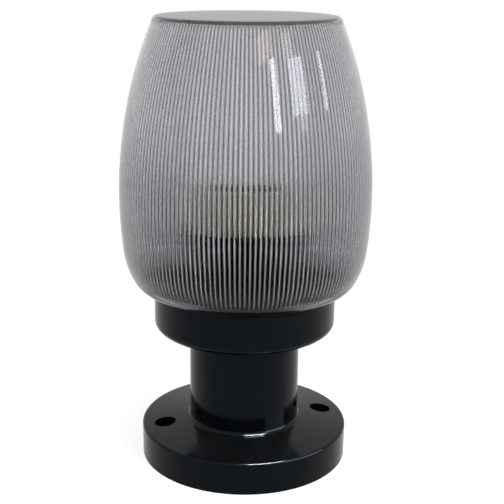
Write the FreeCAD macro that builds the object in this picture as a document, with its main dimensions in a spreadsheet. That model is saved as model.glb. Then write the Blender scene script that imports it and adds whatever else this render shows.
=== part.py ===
"""Gate globe light: a ribbed clear globe that twist-locks into a cast collar on a short round post.

Millimetres, +Z up, origin at the middle of the face that stands on the gate pillar. The two
fixing holes lie on the X axis. Every size is a cell of the sheet "Sizes"; lines that use a size
take it from there, so each body follows its cells.
"""

import FreeCAD, Part
import math
import os

import Sketcher

Vector = FreeCAD.Vector
Placement = FreeCAD.Placement
Rotation = FreeCAD.Rotation

# Driving dimensions, in millimetres, degrees and counts

SIZES = [
    # base casting: flange and post in one
    ("flange_radius", 85, "outside of the round flange"),
    ("flange_height", 26, "height of the flange at its rim"),
    ("flange_crown", 31, "height where the sloping top meets the post"),
    ("flange_wall", 5, "wall of the hollow flange"),
    ("flange_edge_round", 2, "rounding of the flange's top edge"),
    ("post_radius", 45, "outside of the post"),
    ("post_wall", 4.5, "wall of the post"),
    ("post_top", 107.8, "height of the post's top face"),
    ("post_foot_round", 3, "rounding where the post meets the flange"),
    ("web_top", 38, "top of the floor inside the post"),
    ("web_thickness", 4, "thickness of that floor"),
    ("rib_thickness", 3.5, "stiffening ribs under the flange"),
    ("rib_count", 6, "number of those ribs"),
    ("rib_foot", 8, "height of a rib's lower edge"),
    ("casting_merge", 2, "how far cast features run into the wall they grow from"),
    # fixing holes
    ("bolt_place", 67, "distance of each fixing hole from the axis"),
    ("bolt_hole_radius", 4.5, "fixing hole"),
    ("bolt_seat_radius", 8.75, "counterbore over the fixing hole"),
    ("bolt_seat_height", 18, "height of the counterbore's floor"),
    ("bolt_boss_radius", 14, "boss round the fixing hole"),
    # screws that hold the collar on the post
    ("collar_screw_place", 26, "distance of the collar screws from the axis"),
    ("collar_screw_radius", 2.5, "M5 shank"),
    ("collar_screw_length", 20, "length under the head"),
    ("collar_screw_head_radius", 4.6, "pan head"),
    ("collar_screw_head_height", 3.4, "pan head"),
    ("collar_boss_radius", 6.5, "boss for a collar screw"),
    ("collar_boss_depth", 24, "length of that boss"),
    ("collar_boss_web", 8, "width of the web that joins a boss to the post"),
    ("screw_count", 3, "screws in each of the two rings"),
    ("washer_thickness", 1.2, "spring washer"),
    ("washer_width", 2, "width of a spring washer's ring"),
    ("washer_gap", 0.8, "cut in a spring washer"),
    ("screw_clearance", 0.3, "between a shank and a plain hole"),
    ("thread_clearance", 0.05, "between a shank and its tapped hole"),
    ("slot_width", 1.1, "driver slot in a large screw head"),
    # collar
    ("post_gasket_thickness", 1.5, "gasket between post and collar"),
    ("post_gasket_inset", 0.6, "how far that gasket stays in from the post's edge"),
    ("collar_wall", 4.5, "wall of the cup"),
    ("collar_floor", 5, "floor of the cup"),
    ("collar_height", 32.4, "outside height of the cup"),
    ("collar_foot_round", 7, "rounding of the cup's lower edge"),
    ("collar_rim_round", 1, "rounding of the cup's rim"),
    ("ledge_drop", 3.2, "rim down to the ledge that holds the lugs"),
    ("ledge_thickness", 4, "thickness of the ledge"),
    ("ledge_width", 4.5, "how far the ledge stands in from the wall"),
    ("lug_count", 3, "lugs on the globe's neck"),
    ("lug_half_angle", 14, "half the angle of one lug, degrees"),
    ("lug_entry_clearance", 3, "slot past the lug on each side, degrees"),
    ("lock_angle", 40, "turn from dropped in to locked, degrees"),
    ("stop_angle", 5, "width of the stop block, degrees"),
    ("stop_clearance", 0.8, "lug to stop when locked, degrees"),
    ("stop_depth", 5, "height of the stop block"),
    ("wire_hole_radius", 9, "hole for the wires in the collar's floor"),
    # globe
    ("globe_radius", 100, "largest outside radius of the globe"),
    ("globe_wall", 3, "wall of the globe"),
    ("crown_height", 140.3, "widest ring to the flat top"),
    ("crown_arc", 355, "radius of the long arc above the belly"),
    ("belly_arc", 370, "radius of the arc just below the belly"),
    ("belly_angle", 6.5, "end of the belly arc, degrees"),
    ("haunch_arc", 60.7, "radius of the arc that turns inwards"),
    ("haunch_angle", 29, "end of the haunch arc, degrees"),
    ("shoulder_arc", 21.7, "radius of the arc that turns under to the shoulder"),
    ("shoulder_width", 7.5, "flat shoulder between that arc and the neck"),
    ("crown_round", 4, "rounding of the globe's top edge"),
    ("neck_gap", 0.6, "between the neck and the ledge"),
    ("neck_wall", 3.5, "wall of the neck"),
    ("neck_length", 16.4, "shoulder to the neck's lower end"),
    ("lug_height", 4.3, "height of a lug"),
    ("lug_play", 0.6, "between a lug and the ledge above it"),
    ("lug_gap", 1, "between a lug and the collar's wall"),
    ("globe_gasket_thickness", 3.5, "gasket under the globe's shoulder"),
    ("globe_gasket_gap", 0.4, "between that gasket and the parts beside it"),
    ("seat_gap", 0.2, "between the gasket and the faces above and below it"),
    # lampholder stand
    ("stand_radius", 34, "outside of the stand's tube"),
    ("stand_wall", 2, "sheet of the stand"),
    ("stand_height", 76.7, "collar floor to the stand's top"),
    ("stand_flange_radius", 45.5, "foot flange of the stand"),
    ("stand_round", 3, "rounding of the stand's top edge"),
    ("stand_hole_radius", 15, "hole in the stand's top for the terminals"),
    ("stand_screw_place", 40, "distance of the stand screws from the axis"),
    ("small_screw_radius", 2, "M4 shank"),
    ("stand_screw_length", 6, "length under the head"),
    ("stand_tap_depth", 4.4, "tapped hole in the collar's floor"),
    ("small_head_radius", 3.6, "M4 head"),
    ("small_head_height", 2.6, "M4 head"),
    # porcelain lampholder
    ("holder_base_radius", 27, "foot of the porcelain"),
    ("holder_base_height", 7, "foot of the porcelain"),
    ("holder_radius", 24, "barrel of the porcelain"),
    ("holder_height", 33, "porcelain, foot to rim"),
    ("holder_round", 1.6, "rounding of the porcelain's rim"),
    ("holder_screw_place", 22.4, "distance of the holder screws from the axis"),
    ("holder_groove_radius", 4.5, "groove that lets the driver in"),
    ("holder_screw_length", 15, "length under the head"),
    ("nut_across", 7, "M4 nut, across flats"),
    ("nut_height", 3.2, "M4 nut"),
    ("shell_radius", 13.35, "inside of the lamp thread shell"),
    ("shell_sheet", 0.4, "sheet of the shell"),
    ("shell_gap", 0.25, "between the shell and the porcelain"),
    ("shell_seat", 9.5, "foot of the porcelain to the shell's seat"),
    ("shell_height", 21.5, "height of the shell"),
    ("contact_well_radius", 9, "well under the shell"),
    ("contact_well_depth", 2.8, "well under the shell"),
    ("contact_radius", 4.2, "head of the centre contact"),
    ("contact_head", 1.2, "head of the centre contact"),
    ("contact_stem_radius", 0.9, "stem of the centre contact"),
    ("contact_foot_radius", 1.5, "peened foot under the strip"),
    ("contact_foot", 0.8, "peened foot under the strip"),
    ("contact_travel", 1.5, "how far the centre contact goes down"),
    ("spring_radius", 1.9, "coil spring, to the middle of its wire"),
    ("spring_wire", 0.5, "spring wire, diameter"),
    ("spring_turns", 5, "turns of the coil spring"),
    ("spring_hole_radius", 2.6, "hole for the spring in the porcelain"),
    ("running_gap", 0.1, "between a spring or contact and what it bears on"),
    ("strap_thickness", 0.8, "strip under the spring"),
    ("strap_width", 4.4, "strip under the spring"),
    ("clamp_place", 9.6, "distance of a holder terminal from the axis"),
    ("clamp_width", 6, "holder terminal, along X"),
    ("clamp_length", 9, "holder terminal, along Y"),
    ("clamp_height", 4.6, "holder terminal"),
    ("pocket_gap", 0.25, "between a terminal and its pocket"),
    ("clamp_screw_radius", 1.5, "M3 shank"),
    ("clamp_screw_length", 3.6, "M3 clamp screw"),
    ("clamp_head_radius", 2.4, "M3 head"),
    ("clamp_head_height", 1.6, "M3 head"),
    ("clamp_screw_place", 2.3, "clamp screw from the terminal's middle"),
    ("clamp_wire_place", 2.4, "wire bore from the terminal's middle"),
    ("riser_radius", 1, "pin from the neutral terminal to the shell"),
    ("fine_slot", 0.6, "driver slot in a small screw head"),
    # terminal block in the post
    ("block_length", 36, "terminal block, along X"),
    ("block_width", 18, "terminal block, along Y"),
    ("block_height", 15, "terminal block"),
    ("block_place", 12, "terminal block's middle from the axis"),
    ("pole_pitch", 12, "from pole to pole"),
    ("pole_count", 3, "poles of the terminal block"),
    ("insert_radius", 2.9, "brass insert"),
    ("insert_bore", 1.7, "wire bore of the insert"),
    ("insert_length", 15, "brass insert"),
    ("insert_height", 8, "insert's axis above the web"),
    ("pole_screw_place", 4.4, "clamp screw from the block's middle"),
    ("pole_screw_length", 3.2, "length under the head"),
    # earth point
    ("earth_x", -27, "earth screw"),
    ("earth_y", -3, "earth screw"),
    ("earth_screw_length", 5.5, "length under the head"),
    ("earth_washer_radius", 4.4, "washer under the head"),
    ("earth_washer_thickness", 0.8, "washer under the head"),
    ("lug_plate", 0.8, "ring tongue of the earth lug"),
    ("lug_ring_radius", 4, "ring tongue of the earth lug"),
    ("lug_barrel_radius", 1.9, "crimped barrel"),
    ("lug_barrel_length", 6, "crimped barrel"),
    ("lug_neck", 7, "ring's middle to the barrel"),
    # grommets and wires
    ("cable_hole_radius", 11, "hole for the supply cable in the web"),
    ("cable_hole_place", 12, "that hole's distance from the axis, opposite the terminal block"),
    ("cable_bore", 5, "supply cable's bore in its grommet"),
    ("wire_bore", 4.8, "wires' bore in their grommet"),
    ("grommet_lip", 2.4, "how far a lip stands past the hole"),
    ("grommet_lip_height", 2, "thickness of a lip"),
    ("grommet_gap", 0.1, "between a grommet and its hole"),
    ("wire_radius", 1.1, "insulated wire"),
    ("wire_gap", 0.2, "between a wire and the bore it enters"),
    ("wire_spread", 2, "distance of a wire from the axis in the grommet"),
    ("bend_share", 0.45, "share of the shorter run that a wire's arc takes"),
    ("cut_overrun", 2, "how far a cut runs past the face it opens"),
]


class Size:
    """A length that knows its value now and the expression that gives it from the sheet."""

    def __init__(self, value, text):
        self.value = float(value)
        self.text = text

    @staticmethod
    def of(other):
        return other if isinstance(other, Size) else Size(other, repr(float(other)))

    def combined(self, other, sign, value):
        return Size(value, f"({self.text} {sign} {Size.of(other).text})")

    def __add__(self, other):
        return self.combined(other, "+", self.value + Size.of(other).value)

    def __sub__(self, other):
        return self.combined(other, "-", self.value - Size.of(other).value)

    def __mul__(self, other):
        return self.combined(other, "*", self.value * Size.of(other).value)

    def __truediv__(self, other):
        return self.combined(other, "/", self.value / Size.of(other).value)

    def __neg__(self):
        return Size(-self.value, f"(0 - {self.text})")

    def __radd__(self, other):
        return Size.of(other) + self

    def __rsub__(self, other):
        return Size.of(other) - self

    def __rmul__(self, other):
        return Size.of(other) * self


def sine(angle):
    """Sine of an angle in degrees."""
    return Size(math.sin(math.radians(angle.value)), f"sin({angle.text})")


def cosine(angle):
    """Cosine of an angle in degrees."""
    return Size(math.cos(math.radians(angle.value)), f"cos({angle.text})")


def root(area):
    """Square root of an area, as a length."""
    return Size(math.sqrt(area.value), f"sqrt({area.text})")


# Places closer than this are the same place
SAME = 1e-4

doc = FreeCAD.newDocument("gate_globe_light")
sheet = doc.addObject("Spreadsheet::Sheet", "Sizes")


class Sizes:
    """The sheet's cells as sizes, one attribute for each alias."""

    def __init__(self):
        for row, (alias, value, note) in enumerate(SIZES, start=1):
            sheet.set(f"A{row}", alias)
            sheet.set(f"B{row}", str(value))
            sheet.setAlias(f"B{row}", alias)
            sheet.set(f"C{row}", note)
            setattr(self, alias, Size(value, f"Sizes.{alias}"))
        doc.recompute()


S = Sizes()
nodes = []


# Sketches and features


def bind(thing, prop, size):
    """Ties one property of a document object to the sheet."""
    thing.setExpression(prop, Size.of(size).text)


def new_body(label):
    """A body that becomes the sub-part of that name."""
    body = doc.addObject("PartDesign::Body", label)
    body.Label = label
    body.AllowCompound = True
    nodes.append(body)
    return body


def datum(body, role):
    """One of the body's own origin planes or axes."""
    return next(part for part in body.Origin.OriginFeatures if part.Role == role)


def new_sketch(body, plane, at=(0, 0, 0)):
    """A sketch on an origin plane, moved by "at" in the sketch's own axes."""
    sketch = body.newObject("Sketcher::SketchObject", "outline")
    sketch.AttachmentSupport = [(datum(body, plane), "")]
    sketch.MapMode = "FlatFace"
    values = [Size.of(part).value for part in at]
    sketch.AttachmentOffset = Placement(Vector(*values), Rotation())
    for axis, part in zip("xyz", at):
        if isinstance(part, Size):
            bind(sketch, f"AttachmentOffset.Base.{axis}", part)
    return sketch


class Arc:
    """The edge from one point of an outline to the next, as an arc about a centre."""

    def __init__(self, centre, radius, clockwise=False):
        self.centre = centre
        self.radius = radius
        self.clockwise = clockwise


def flat(point):
    """The value of a sketch point."""
    return Vector(Size.of(point[0]).value, Size.of(point[1]).value, 0)


def arc_through(start, end, arc):
    """The arc's curve between two points of the outline."""
    centre = flat(arc.centre)
    first = math.atan2(start.y - centre.y, start.x - centre.x)
    last = math.atan2(end.y - centre.y, end.x - centre.x)
    full = 2 * math.pi
    if arc.clockwise:
        first, last = last, first
    last = first + (last - first) % full
    radius = Size.of(arc.radius).value
    circle = Part.Circle(centre, Vector(0, 0, 1), radius)
    return Part.ArcOfCircle(circle, first, last)


def pin_point(sketch, edge, end, point):
    """Fixes one end of an edge at the point's distances from the sketch's origin."""
    for kind, part, axis in (("DistanceX", point[0], -2), ("DistanceY", point[1], -1)):
        if isinstance(part, Size) and abs(part.value) > SAME:
            index = sketch.addConstraint(Sketcher.Constraint(kind, -1, 1, edge, end, part.value))
            bind(sketch, f"Constraints[{index}]", part)
        else:
            sketch.addConstraint(Sketcher.Constraint("PointOnObject", edge, end, axis))


def draw(sketch, corners):
    """A closed outline. corners alternates freely between points and the Arc that follows one."""
    points = []
    arcs = {}
    for corner in corners:
        if isinstance(corner, Arc):
            arcs[len(points) - 1] = corner
        else:
            points.append(corner)
    first = sketch.GeometryCount
    starts = []
    for number, point in enumerate(points):
        start = flat(point)
        end = flat(points[(number + 1) % len(points)])
        arc = arcs.get(number)
        curve = arc_through(start, end, arc) if arc else Part.LineSegment(start, end)
        edge = sketch.addGeometry(curve, False)
        starts.append(2 if arc and arc.clockwise else 1)
        if arc:
            index = sketch.addConstraint(Sketcher.Constraint("Radius", edge, Size.of(arc.radius).value))
            bind(sketch, f"Constraints[{index}]", arc.radius)
    count = len(points)
    for number, point in enumerate(points):
        after = (number + 1) % count
        ends = (first + number, 3 - starts[number], first + after, starts[after])
        sketch.addConstraint(Sketcher.Constraint("Coincident", *ends))
        pin_point(sketch, first + number, starts[number], point)
    return sketch


def draw_circle(sketch, x, y, radius):
    """A circle at a point of the sketch."""
    centre = flat((x, y))
    edge = sketch.addGeometry(Part.Circle(centre, Vector(0, 0, 1), Size.of(radius).value), False)
    pin_point(sketch, edge, 3, (x, y))
    index = sketch.addConstraint(Sketcher.Constraint("Radius", edge, Size.of(radius).value))
    bind(sketch, f"Constraints[{index}]", radius)
    return sketch


def rectangle(left, right, low, high):
    """The corners of an upright rectangle."""
    return [(left, low), (right, low), (right, high), (left, high)]


def sector(inner, outer, start, end):
    """The corners of a piece of a ring between two angles."""
    middle = (0, 0)

    def corner(radius, angle):
        return (radius * cosine(angle), radius * sine(angle))

    return [
        corner(inner, start),
        corner(outer, start),
        Arc(middle, outer),
        corner(outer, end),
        corner(inner, end),
        Arc(middle, inner, clockwise=True),
    ]


def turned(body, corners, at=(0, 0, 0)):
    """Material added by turning an outline of (radius, height) about its upright axis."""
    sketch = draw(new_sketch(body, "XZ_Plane", at), corners)
    feature = body.newObject("PartDesign::Revolution", "turned")
    feature.Profile = sketch
    feature.ReferenceAxis = (sketch, ["V_Axis"])
    feature.Angle = 360
    doc.recompute()
    return feature


def raised(body, sketch, length, midplane=False, down=False):
    """Material added from a sketch."""
    feature = body.newObject("PartDesign::Pad", "raised")
    feature.Profile = sketch
    feature.SideType = "Symmetric" if midplane else "One side"
    feature.Reversed = down
    bind(feature, "Length", length)
    doc.recompute()
    return feature


def sunk(body, sketch, depth, midplane=False, up=False):
    """Material cut from a sketch, downwards unless told otherwise."""
    before = body.Shape.Volume
    feature = body.newObject("PartDesign::Pocket", "sunk")
    feature.Profile = sketch
    feature.SideType = "Symmetric" if midplane else "One side"
    feature.Reversed = up
    bind(feature, "Length", depth)
    doc.recompute()
    if feature.Shape.Volume >= before:
        raise RuntimeError(f"a cut of {body.Label} removed nothing")
    return feature


def repeated(body, features, count):
    """The features again, evenly round the body's Z axis."""
    pattern = body.newObject("PartDesign::PolarPattern", "repeated")
    pattern.Originals = features
    pattern.Axis = (datum(body, "Z_Axis"), [""])
    pattern.Angle = 360
    bind(pattern, "Occurrences", count)
    body.Tip = pattern
    doc.recompute()
    return pattern


def ring_edges(shape, radius, height):
    """The names of the round edges about Z of that radius and height."""
    found = []
    for number, edge in enumerate(shape.Edges, start=1):
        curve = edge.Curve
        if not isinstance(curve, Part.Circle):
            continue
        off_axis = math.hypot(curve.Center.x, curve.Center.y)
        off_place = math.hypot(curve.Radius - radius.value, curve.Center.z - height.value)
        if max(off_axis, off_place) < SAME:
            found.append(f"Edge{number}")
    return found


def rounded(body, places, radius):
    """A fillet on the round edges at the given (radius, height) places."""
    base = body.Tip
    names = [name for place in places for name in ring_edges(base.Shape, *place)]
    if not names:
        raise RuntimeError(f"{body.Label} has no edge to round")
    feature = body.newObject("PartDesign::Fillet", "rounded")
    feature.Base = (base, names)
    bind(feature, "Radius", radius)
    doc.recompute()
    return feature


# Heights and radii that several pieces share

post_bore = S.post_radius - S.post_wall
web_bottom = S.web_top - S.web_thickness
collar_bottom = S.post_top + S.post_gasket_thickness
collar_floor_top = collar_bottom + S.collar_floor
collar_rim = collar_bottom + S.collar_height
mid_belly = S.globe_radius - S.belly_arc
haunch_x = mid_belly + (S.belly_arc - S.haunch_arc) * cosine(S.belly_angle)
shoulder_x = haunch_x + (S.haunch_arc - S.shoulder_arc) * cosine(S.haunch_angle)
neck_radius = shoulder_x - S.shoulder_width
ledge_bore = neck_radius + S.neck_gap
collar_bore = ledge_bore + S.ledge_width
collar_radius = collar_bore + S.collar_wall
ledge_top = collar_rim - S.ledge_drop
ledge_bottom = ledge_top - S.ledge_thickness
globe_seat = ledge_top + S.globe_gasket_thickness + S.seat_gap * 2
neck_bottom = globe_seat - S.neck_length
lug_top = ledge_bottom - S.lug_play
lug_radius = collar_bore - S.lug_gap
shoulder_z = globe_seat + S.shoulder_arc
haunch_z = shoulder_z + (S.haunch_arc - S.shoulder_arc) * sine(S.haunch_angle)
belly = haunch_z + (S.belly_arc - S.haunch_arc) * sine(S.belly_angle)
globe_top = belly + S.crown_height
stand_top = collar_floor_top + S.stand_height
stand_foot_top = collar_floor_top + S.stand_wall
holder_top = stand_top + S.holder_height
holder_foot_top = stand_top + S.holder_base_height
shell_floor = stand_top + S.shell_seat
well_floor = shell_floor - S.contact_well_depth


# Base casting


def make_base_casting():
    """Hollow flange and post in one casting, with its floor, ribs, bosses and holes."""
    body = new_body("base_casting")
    rim_bore = S.flange_radius - S.flange_wall
    turned(
        body,
        [
            (rim_bore, 0),
            (S.flange_radius, 0),
            (S.flange_radius, S.flange_height),
            (S.post_radius, S.flange_crown),
            (S.post_radius, S.post_top),
            (post_bore, S.post_top),
            (post_bore, S.web_top),
            (0, S.web_top),
            (0, web_bottom),
            (post_bore, web_bottom),
            (post_bore, S.flange_crown - S.flange_wall),
            (rim_bore, S.flange_height - S.flange_wall),
        ],
    )
    rounded(body, [(S.flange_radius, S.flange_height)], S.flange_edge_round)
    rounded(body, [(S.post_radius, S.flange_crown)], S.post_foot_round)
    roof = S.flange_height - S.flange_wall + S.casting_merge
    rib = draw(
        new_sketch(body, "YZ_Plane"),
        rectangle(post_bore, rim_bore + S.casting_merge, S.rib_foot, roof),
    )
    ribs = raised(body, rib, S.rib_thickness, midplane=True)
    repeated(body, [ribs], S.rib_count)
    boss = new_sketch(body, "XY_Plane")
    for side in (1, -1):
        draw_circle(boss, S.bolt_place * side, 0, S.bolt_boss_radius)
    raised(body, boss, roof)
    seat = new_sketch(body, "XY_Plane", (0, 0, S.bolt_seat_height))
    hole = new_sketch(body, "XY_Plane", (0, 0, S.bolt_seat_height + S.cut_overrun))
    for side in (1, -1):
        draw_circle(seat, S.bolt_place * side, 0, S.bolt_seat_radius)
        draw_circle(hole, S.bolt_place * side, 0, S.bolt_hole_radius)
    sunk(body, seat, S.flange_crown, up=True)
    sunk(body, hole, S.bolt_seat_height + S.cut_overrun * 2)
    make_collar_bosses(body)
    make_web_holes(body)
    return body


def make_collar_bosses(body):
    """Bosses inside the post's top that take the collar screws."""
    low = S.post_top - S.collar_boss_depth
    boss = new_sketch(body, "XY_Plane", (0, 0, low))
    draw_circle(boss, 0, S.collar_screw_place, S.collar_boss_radius)
    boss = raised(body, boss, S.collar_boss_depth)
    half = S.collar_boss_web / 2
    web = draw(
        new_sketch(body, "XY_Plane", (0, 0, low)),
        rectangle(-half, half, S.collar_screw_place, post_bore + S.casting_merge),
    )
    web = raised(body, web, S.collar_boss_depth)
    hole = draw_circle(
        new_sketch(body, "XY_Plane", (0, 0, S.post_top)),
        0,
        S.collar_screw_place,
        S.collar_screw_radius + S.thread_clearance,
    )
    hole = sunk(body, hole, S.collar_screw_length)
    repeated(body, [boss, web, hole], S.screw_count)


def make_web_holes(body):
    """Cable hole and tapped holes in the post's floor."""
    holes = new_sketch(body, "XY_Plane", (0, 0, S.web_top))
    fixing = S.clamp_screw_radius + S.thread_clearance
    for side in (1, -1):
        draw_circle(holes, S.pole_pitch * side / 2, S.block_place, fixing)
    draw_circle(holes, S.earth_x, S.earth_y, S.small_screw_radius + S.thread_clearance)
    draw_circle(holes, 0, -S.cable_hole_place, S.cable_hole_radius)
    sunk(body, holes, S.web_thickness + S.cut_overrun)


# Collar


def make_collar():
    """Cast cup that the globe twists into, with a slotted ledge and stops."""
    body = new_body("collar")
    turned(
        body,
        [
            (S.wire_hole_radius, collar_bottom),
            (collar_radius, collar_bottom),
            (collar_radius, collar_rim),
            (collar_bore, collar_rim),
            (collar_bore, ledge_top),
            (ledge_bore, ledge_top),
            (ledge_bore, ledge_bottom),
            (collar_bore, ledge_bottom),
            (collar_bore, collar_floor_top),
            (S.wire_hole_radius, collar_floor_top),
        ],
    )
    rounded(body, [(collar_radius, collar_bottom)], S.collar_foot_round)
    rounded(body, [(collar_radius, collar_rim), (collar_bore, collar_rim)], S.collar_rim_round)
    slot_edge = S.lug_half_angle + S.lug_entry_clearance
    slot = draw(
        new_sketch(body, "XY_Plane", (0, 0, ledge_top)),
        sector(ledge_bore - S.cut_overrun, collar_bore, -slot_edge, slot_edge),
    )
    slots = sunk(body, slot, S.ledge_thickness)
    repeated(body, [slots], S.lug_count)
    locked_edge = S.lug_half_angle + S.lock_angle + S.stop_clearance
    stop = draw(
        new_sketch(body, "XY_Plane", (0, 0, ledge_bottom)),
        sector(
            lug_radius - S.ledge_width / 2,
            collar_bore + S.casting_merge / 2,
            -(locked_edge + S.stop_angle),
            -locked_edge,
        ),
    )
    stops = raised(body, stop, S.stop_depth, down=True)
    repeated(body, [stops], S.lug_count)
    for place, radius, depth in (
        (S.collar_screw_place, S.collar_screw_radius + S.screw_clearance, S.collar_floor + S.cut_overrun),
        (S.stand_screw_place, S.small_screw_radius + S.thread_clearance, S.stand_tap_depth),
    ):
        hole = draw_circle(new_sketch(body, "XY_Plane", (0, 0, collar_floor_top)), 0, place, radius)
        holes = sunk(body, hole, depth)
        repeated(body, [holes], S.screw_count)
    return body


def make_post_gasket():
    """Flat gasket between the post's top and the collar, open where the bosses are."""
    body = new_body("post_gasket")
    turned(body, rectangle(post_bore, S.post_radius - S.post_gasket_inset, S.post_top, collar_bottom))
    half = S.collar_boss_web / 2
    tab = new_sketch(body, "XY_Plane", (0, 0, S.post_top))
    draw(tab, rectangle(-half, half, S.collar_screw_place, post_bore + S.casting_merge))
    tab = raised(body, tab, S.post_gasket_thickness)
    pad = draw_circle(
        new_sketch(body, "XY_Plane", (0, 0, S.post_top)), 0, S.collar_screw_place, S.collar_boss_radius
    )
    pad = raised(body, pad, S.post_gasket_thickness)
    hole = draw_circle(
        new_sketch(body, "XY_Plane", (0, 0, collar_bottom)),
        0,
        S.collar_screw_place,
        S.collar_screw_radius + S.screw_clearance,
    )
    hole = sunk(body, hole, S.post_gasket_thickness + S.cut_overrun)
    repeated(body, [tab, pad, hole], S.screw_count)
    return body


# Globe


def globe_arcs(inset):
    """Corners of the globe's side from the shoulder up to the flat top, moved in by inset."""
    crown_x = S.globe_radius - S.crown_arc
    top = globe_top - inset
    crown_radius = S.crown_arc - inset
    rise = top - belly
    crown_edge = crown_x + root(crown_radius * crown_radius - rise * rise)

    def on(centre_x, centre_z, radius, angle):
        reach = radius - inset
        return (centre_x + reach * cosine(angle), centre_z - reach * sine(angle))

    return [
        (shoulder_x, globe_seat + inset),
        Arc((shoulder_x, shoulder_z), S.shoulder_arc - inset),
        on(haunch_x, haunch_z, S.haunch_arc, S.haunch_angle),
        Arc((haunch_x, haunch_z), S.haunch_arc - inset),
        on(mid_belly, belly, S.belly_arc, S.belly_angle),
        Arc((mid_belly, belly), S.belly_arc - inset),
        (S.globe_radius - inset, belly),
        Arc((crown_x, belly), crown_radius),
        (crown_edge, top),
    ]


def reversed_outline(corners):
    """The same corners the other way round, each arc kept between its own two points."""
    turned_round = []
    for corner in reversed(corners):
        if isinstance(corner, Arc):
            corner = Arc(corner.centre, corner.radius, not corner.clockwise)
        turned_round.append(corner)
    return turned_round


def make_globe():
    """Clear moulded globe: barrel-shaped wall, flat top, open neck with locking lugs."""
    body = new_body("globe")
    outer = globe_arcs(Size.of(0))
    inner = globe_arcs(S.globe_wall)
    neck_bore = neck_radius - S.neck_wall
    turned(
        body,
        [
            (neck_bore, neck_bottom),
            (neck_radius, neck_bottom),
            (neck_radius, globe_seat),
            *outer,
            (0, globe_top),
            (0, globe_top - S.globe_wall),
            *reversed_outline(inner),
            (neck_bore, globe_seat + S.globe_wall),
        ],
    )
    rounded(body, [(outer[-1][0], globe_top)], S.crown_round)
    lug = draw(
        new_sketch(body, "XY_Plane", (0, 0, lug_top)),
        sector(neck_radius - S.neck_wall / 2, lug_radius, -S.lug_half_angle, S.lug_half_angle),
    )
    lugs = raised(body, lug, S.lug_height, down=True)
    repeated(body, [lugs], S.lug_count)
    return body


def make_globe_gasket():
    """Soft ring on the ledge, under the globe's shoulder."""
    body = new_body("globe_gasket")
    turned(
        body,
        rectangle(
            neck_radius + S.globe_gasket_gap,
            collar_bore - S.globe_gasket_gap,
            ledge_top + S.seat_gap,
            globe_seat - S.seat_gap,
        ),
    )
    return body


# Screws, washers and nuts


def make_screws(label, places, under_head, length, radius, head_radius, head_height, slot, upwards=True):
    """Pan-head screws in one node; places are (x, y) and the heads point up or down."""
    body = new_body(label)
    sign = 1 if upwards else -1
    for x, y in places:
        corners = [
            (0, under_head - length * sign),
            (radius, under_head - length * sign),
            (radius, under_head),
            (head_radius, under_head),
            (head_radius, under_head + head_height * sign),
            (0, under_head + head_height * sign),
        ]
        turned(body, corners, (x, 0, -Size.of(y)))
        face = under_head + head_height * sign
        cut = draw(
            new_sketch(body, "XY_Plane", (x, y, face)),
            rectangle(-head_radius * 2, head_radius * 2, -slot / 2, slot / 2),
        )
        sunk(body, cut, head_height / 2, up=not upwards)
    return body


def ring_places(place, count):
    """Points spaced evenly round the axis, the first on +Y."""
    step = Size.of(360) / count
    number = int(round(count.value))
    return [(-(place * sine(step * k)), place * cosine(step * k)) for k in range(number)]


def make_washers():
    """Split spring washers under the collar screws."""
    body = new_body("collar_screw_washers")
    inner = S.collar_screw_radius + S.screw_clearance
    outer = inner + S.washer_width
    top = collar_floor_top + S.washer_thickness
    half = S.washer_gap / 2
    for x, y in ring_places(S.collar_screw_place, S.screw_count):
        turned(body, rectangle(inner, outer, collar_floor_top, top), (x, 0, -y))
        cut = draw(
            new_sketch(body, "XY_Plane", (x, y, top)),
            rectangle(inner / 2, outer + S.cut_overrun, -half, half),
        )
        sunk(body, cut, S.washer_thickness + S.cut_overrun)
    return body


def make_nuts():
    """Hexagon nuts under the stand's top, on the lampholder screws."""
    body = new_body("holder_nuts")
    low = stand_top - S.stand_wall - S.nut_height
    corner = S.nut_across / 2 / cosine(Size.of(30))
    for side in (1, -1):
        middle = S.holder_screw_place * side
        hexagon = [(corner * cosine(Size.of(60 * k)), corner * sine(Size.of(60 * k))) for k in range(6)]
        blank = draw(new_sketch(body, "XY_Plane", (0, middle, low)), hexagon)
        raised(body, blank, S.nut_height)
        hole = new_sketch(body, "XY_Plane", (0, middle, low + S.nut_height))
        draw_circle(hole, 0, 0, S.small_screw_radius + S.thread_clearance)
        sunk(body, hole, S.nut_height)
    return body


# Lampholder and its stand


def make_stand():
    """Pressed steel stand: foot flange, tube and top plate."""
    body = new_body("lampholder_stand")
    bore = S.stand_radius - S.stand_wall
    turned(
        body,
        [
            (bore, collar_floor_top),
            (S.stand_flange_radius, collar_floor_top),
            (S.stand_flange_radius, stand_foot_top),
            (S.stand_radius, stand_foot_top),
            (S.stand_radius, stand_top),
            (S.stand_hole_radius, stand_top),
            (S.stand_hole_radius, stand_top - S.stand_wall),
            (bore, stand_top - S.stand_wall),
        ],
    )
    rounded(body, [(S.stand_radius, stand_top)], S.stand_round)
    rounded(body, [(bore, stand_top - S.stand_wall)], S.stand_round - S.stand_wall)
    rounded(body, [(S.stand_radius, stand_foot_top)], S.stand_wall)
    foot_hole = draw_circle(
        new_sketch(body, "XY_Plane", (0, 0, stand_foot_top)),
        0,
        S.stand_screw_place,
        S.small_screw_radius + S.screw_clearance,
    )
    holes = sunk(body, foot_hole, S.stand_wall + S.cut_overrun)
    repeated(body, [holes], S.screw_count)
    plate = new_sketch(body, "XY_Plane", (0, 0, stand_top))
    for side in (1, -1):
        draw_circle(plate, 0, S.holder_screw_place * side, S.small_screw_radius + S.screw_clearance)
    sunk(body, plate, S.stand_wall + S.cut_overrun)
    return body


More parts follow.
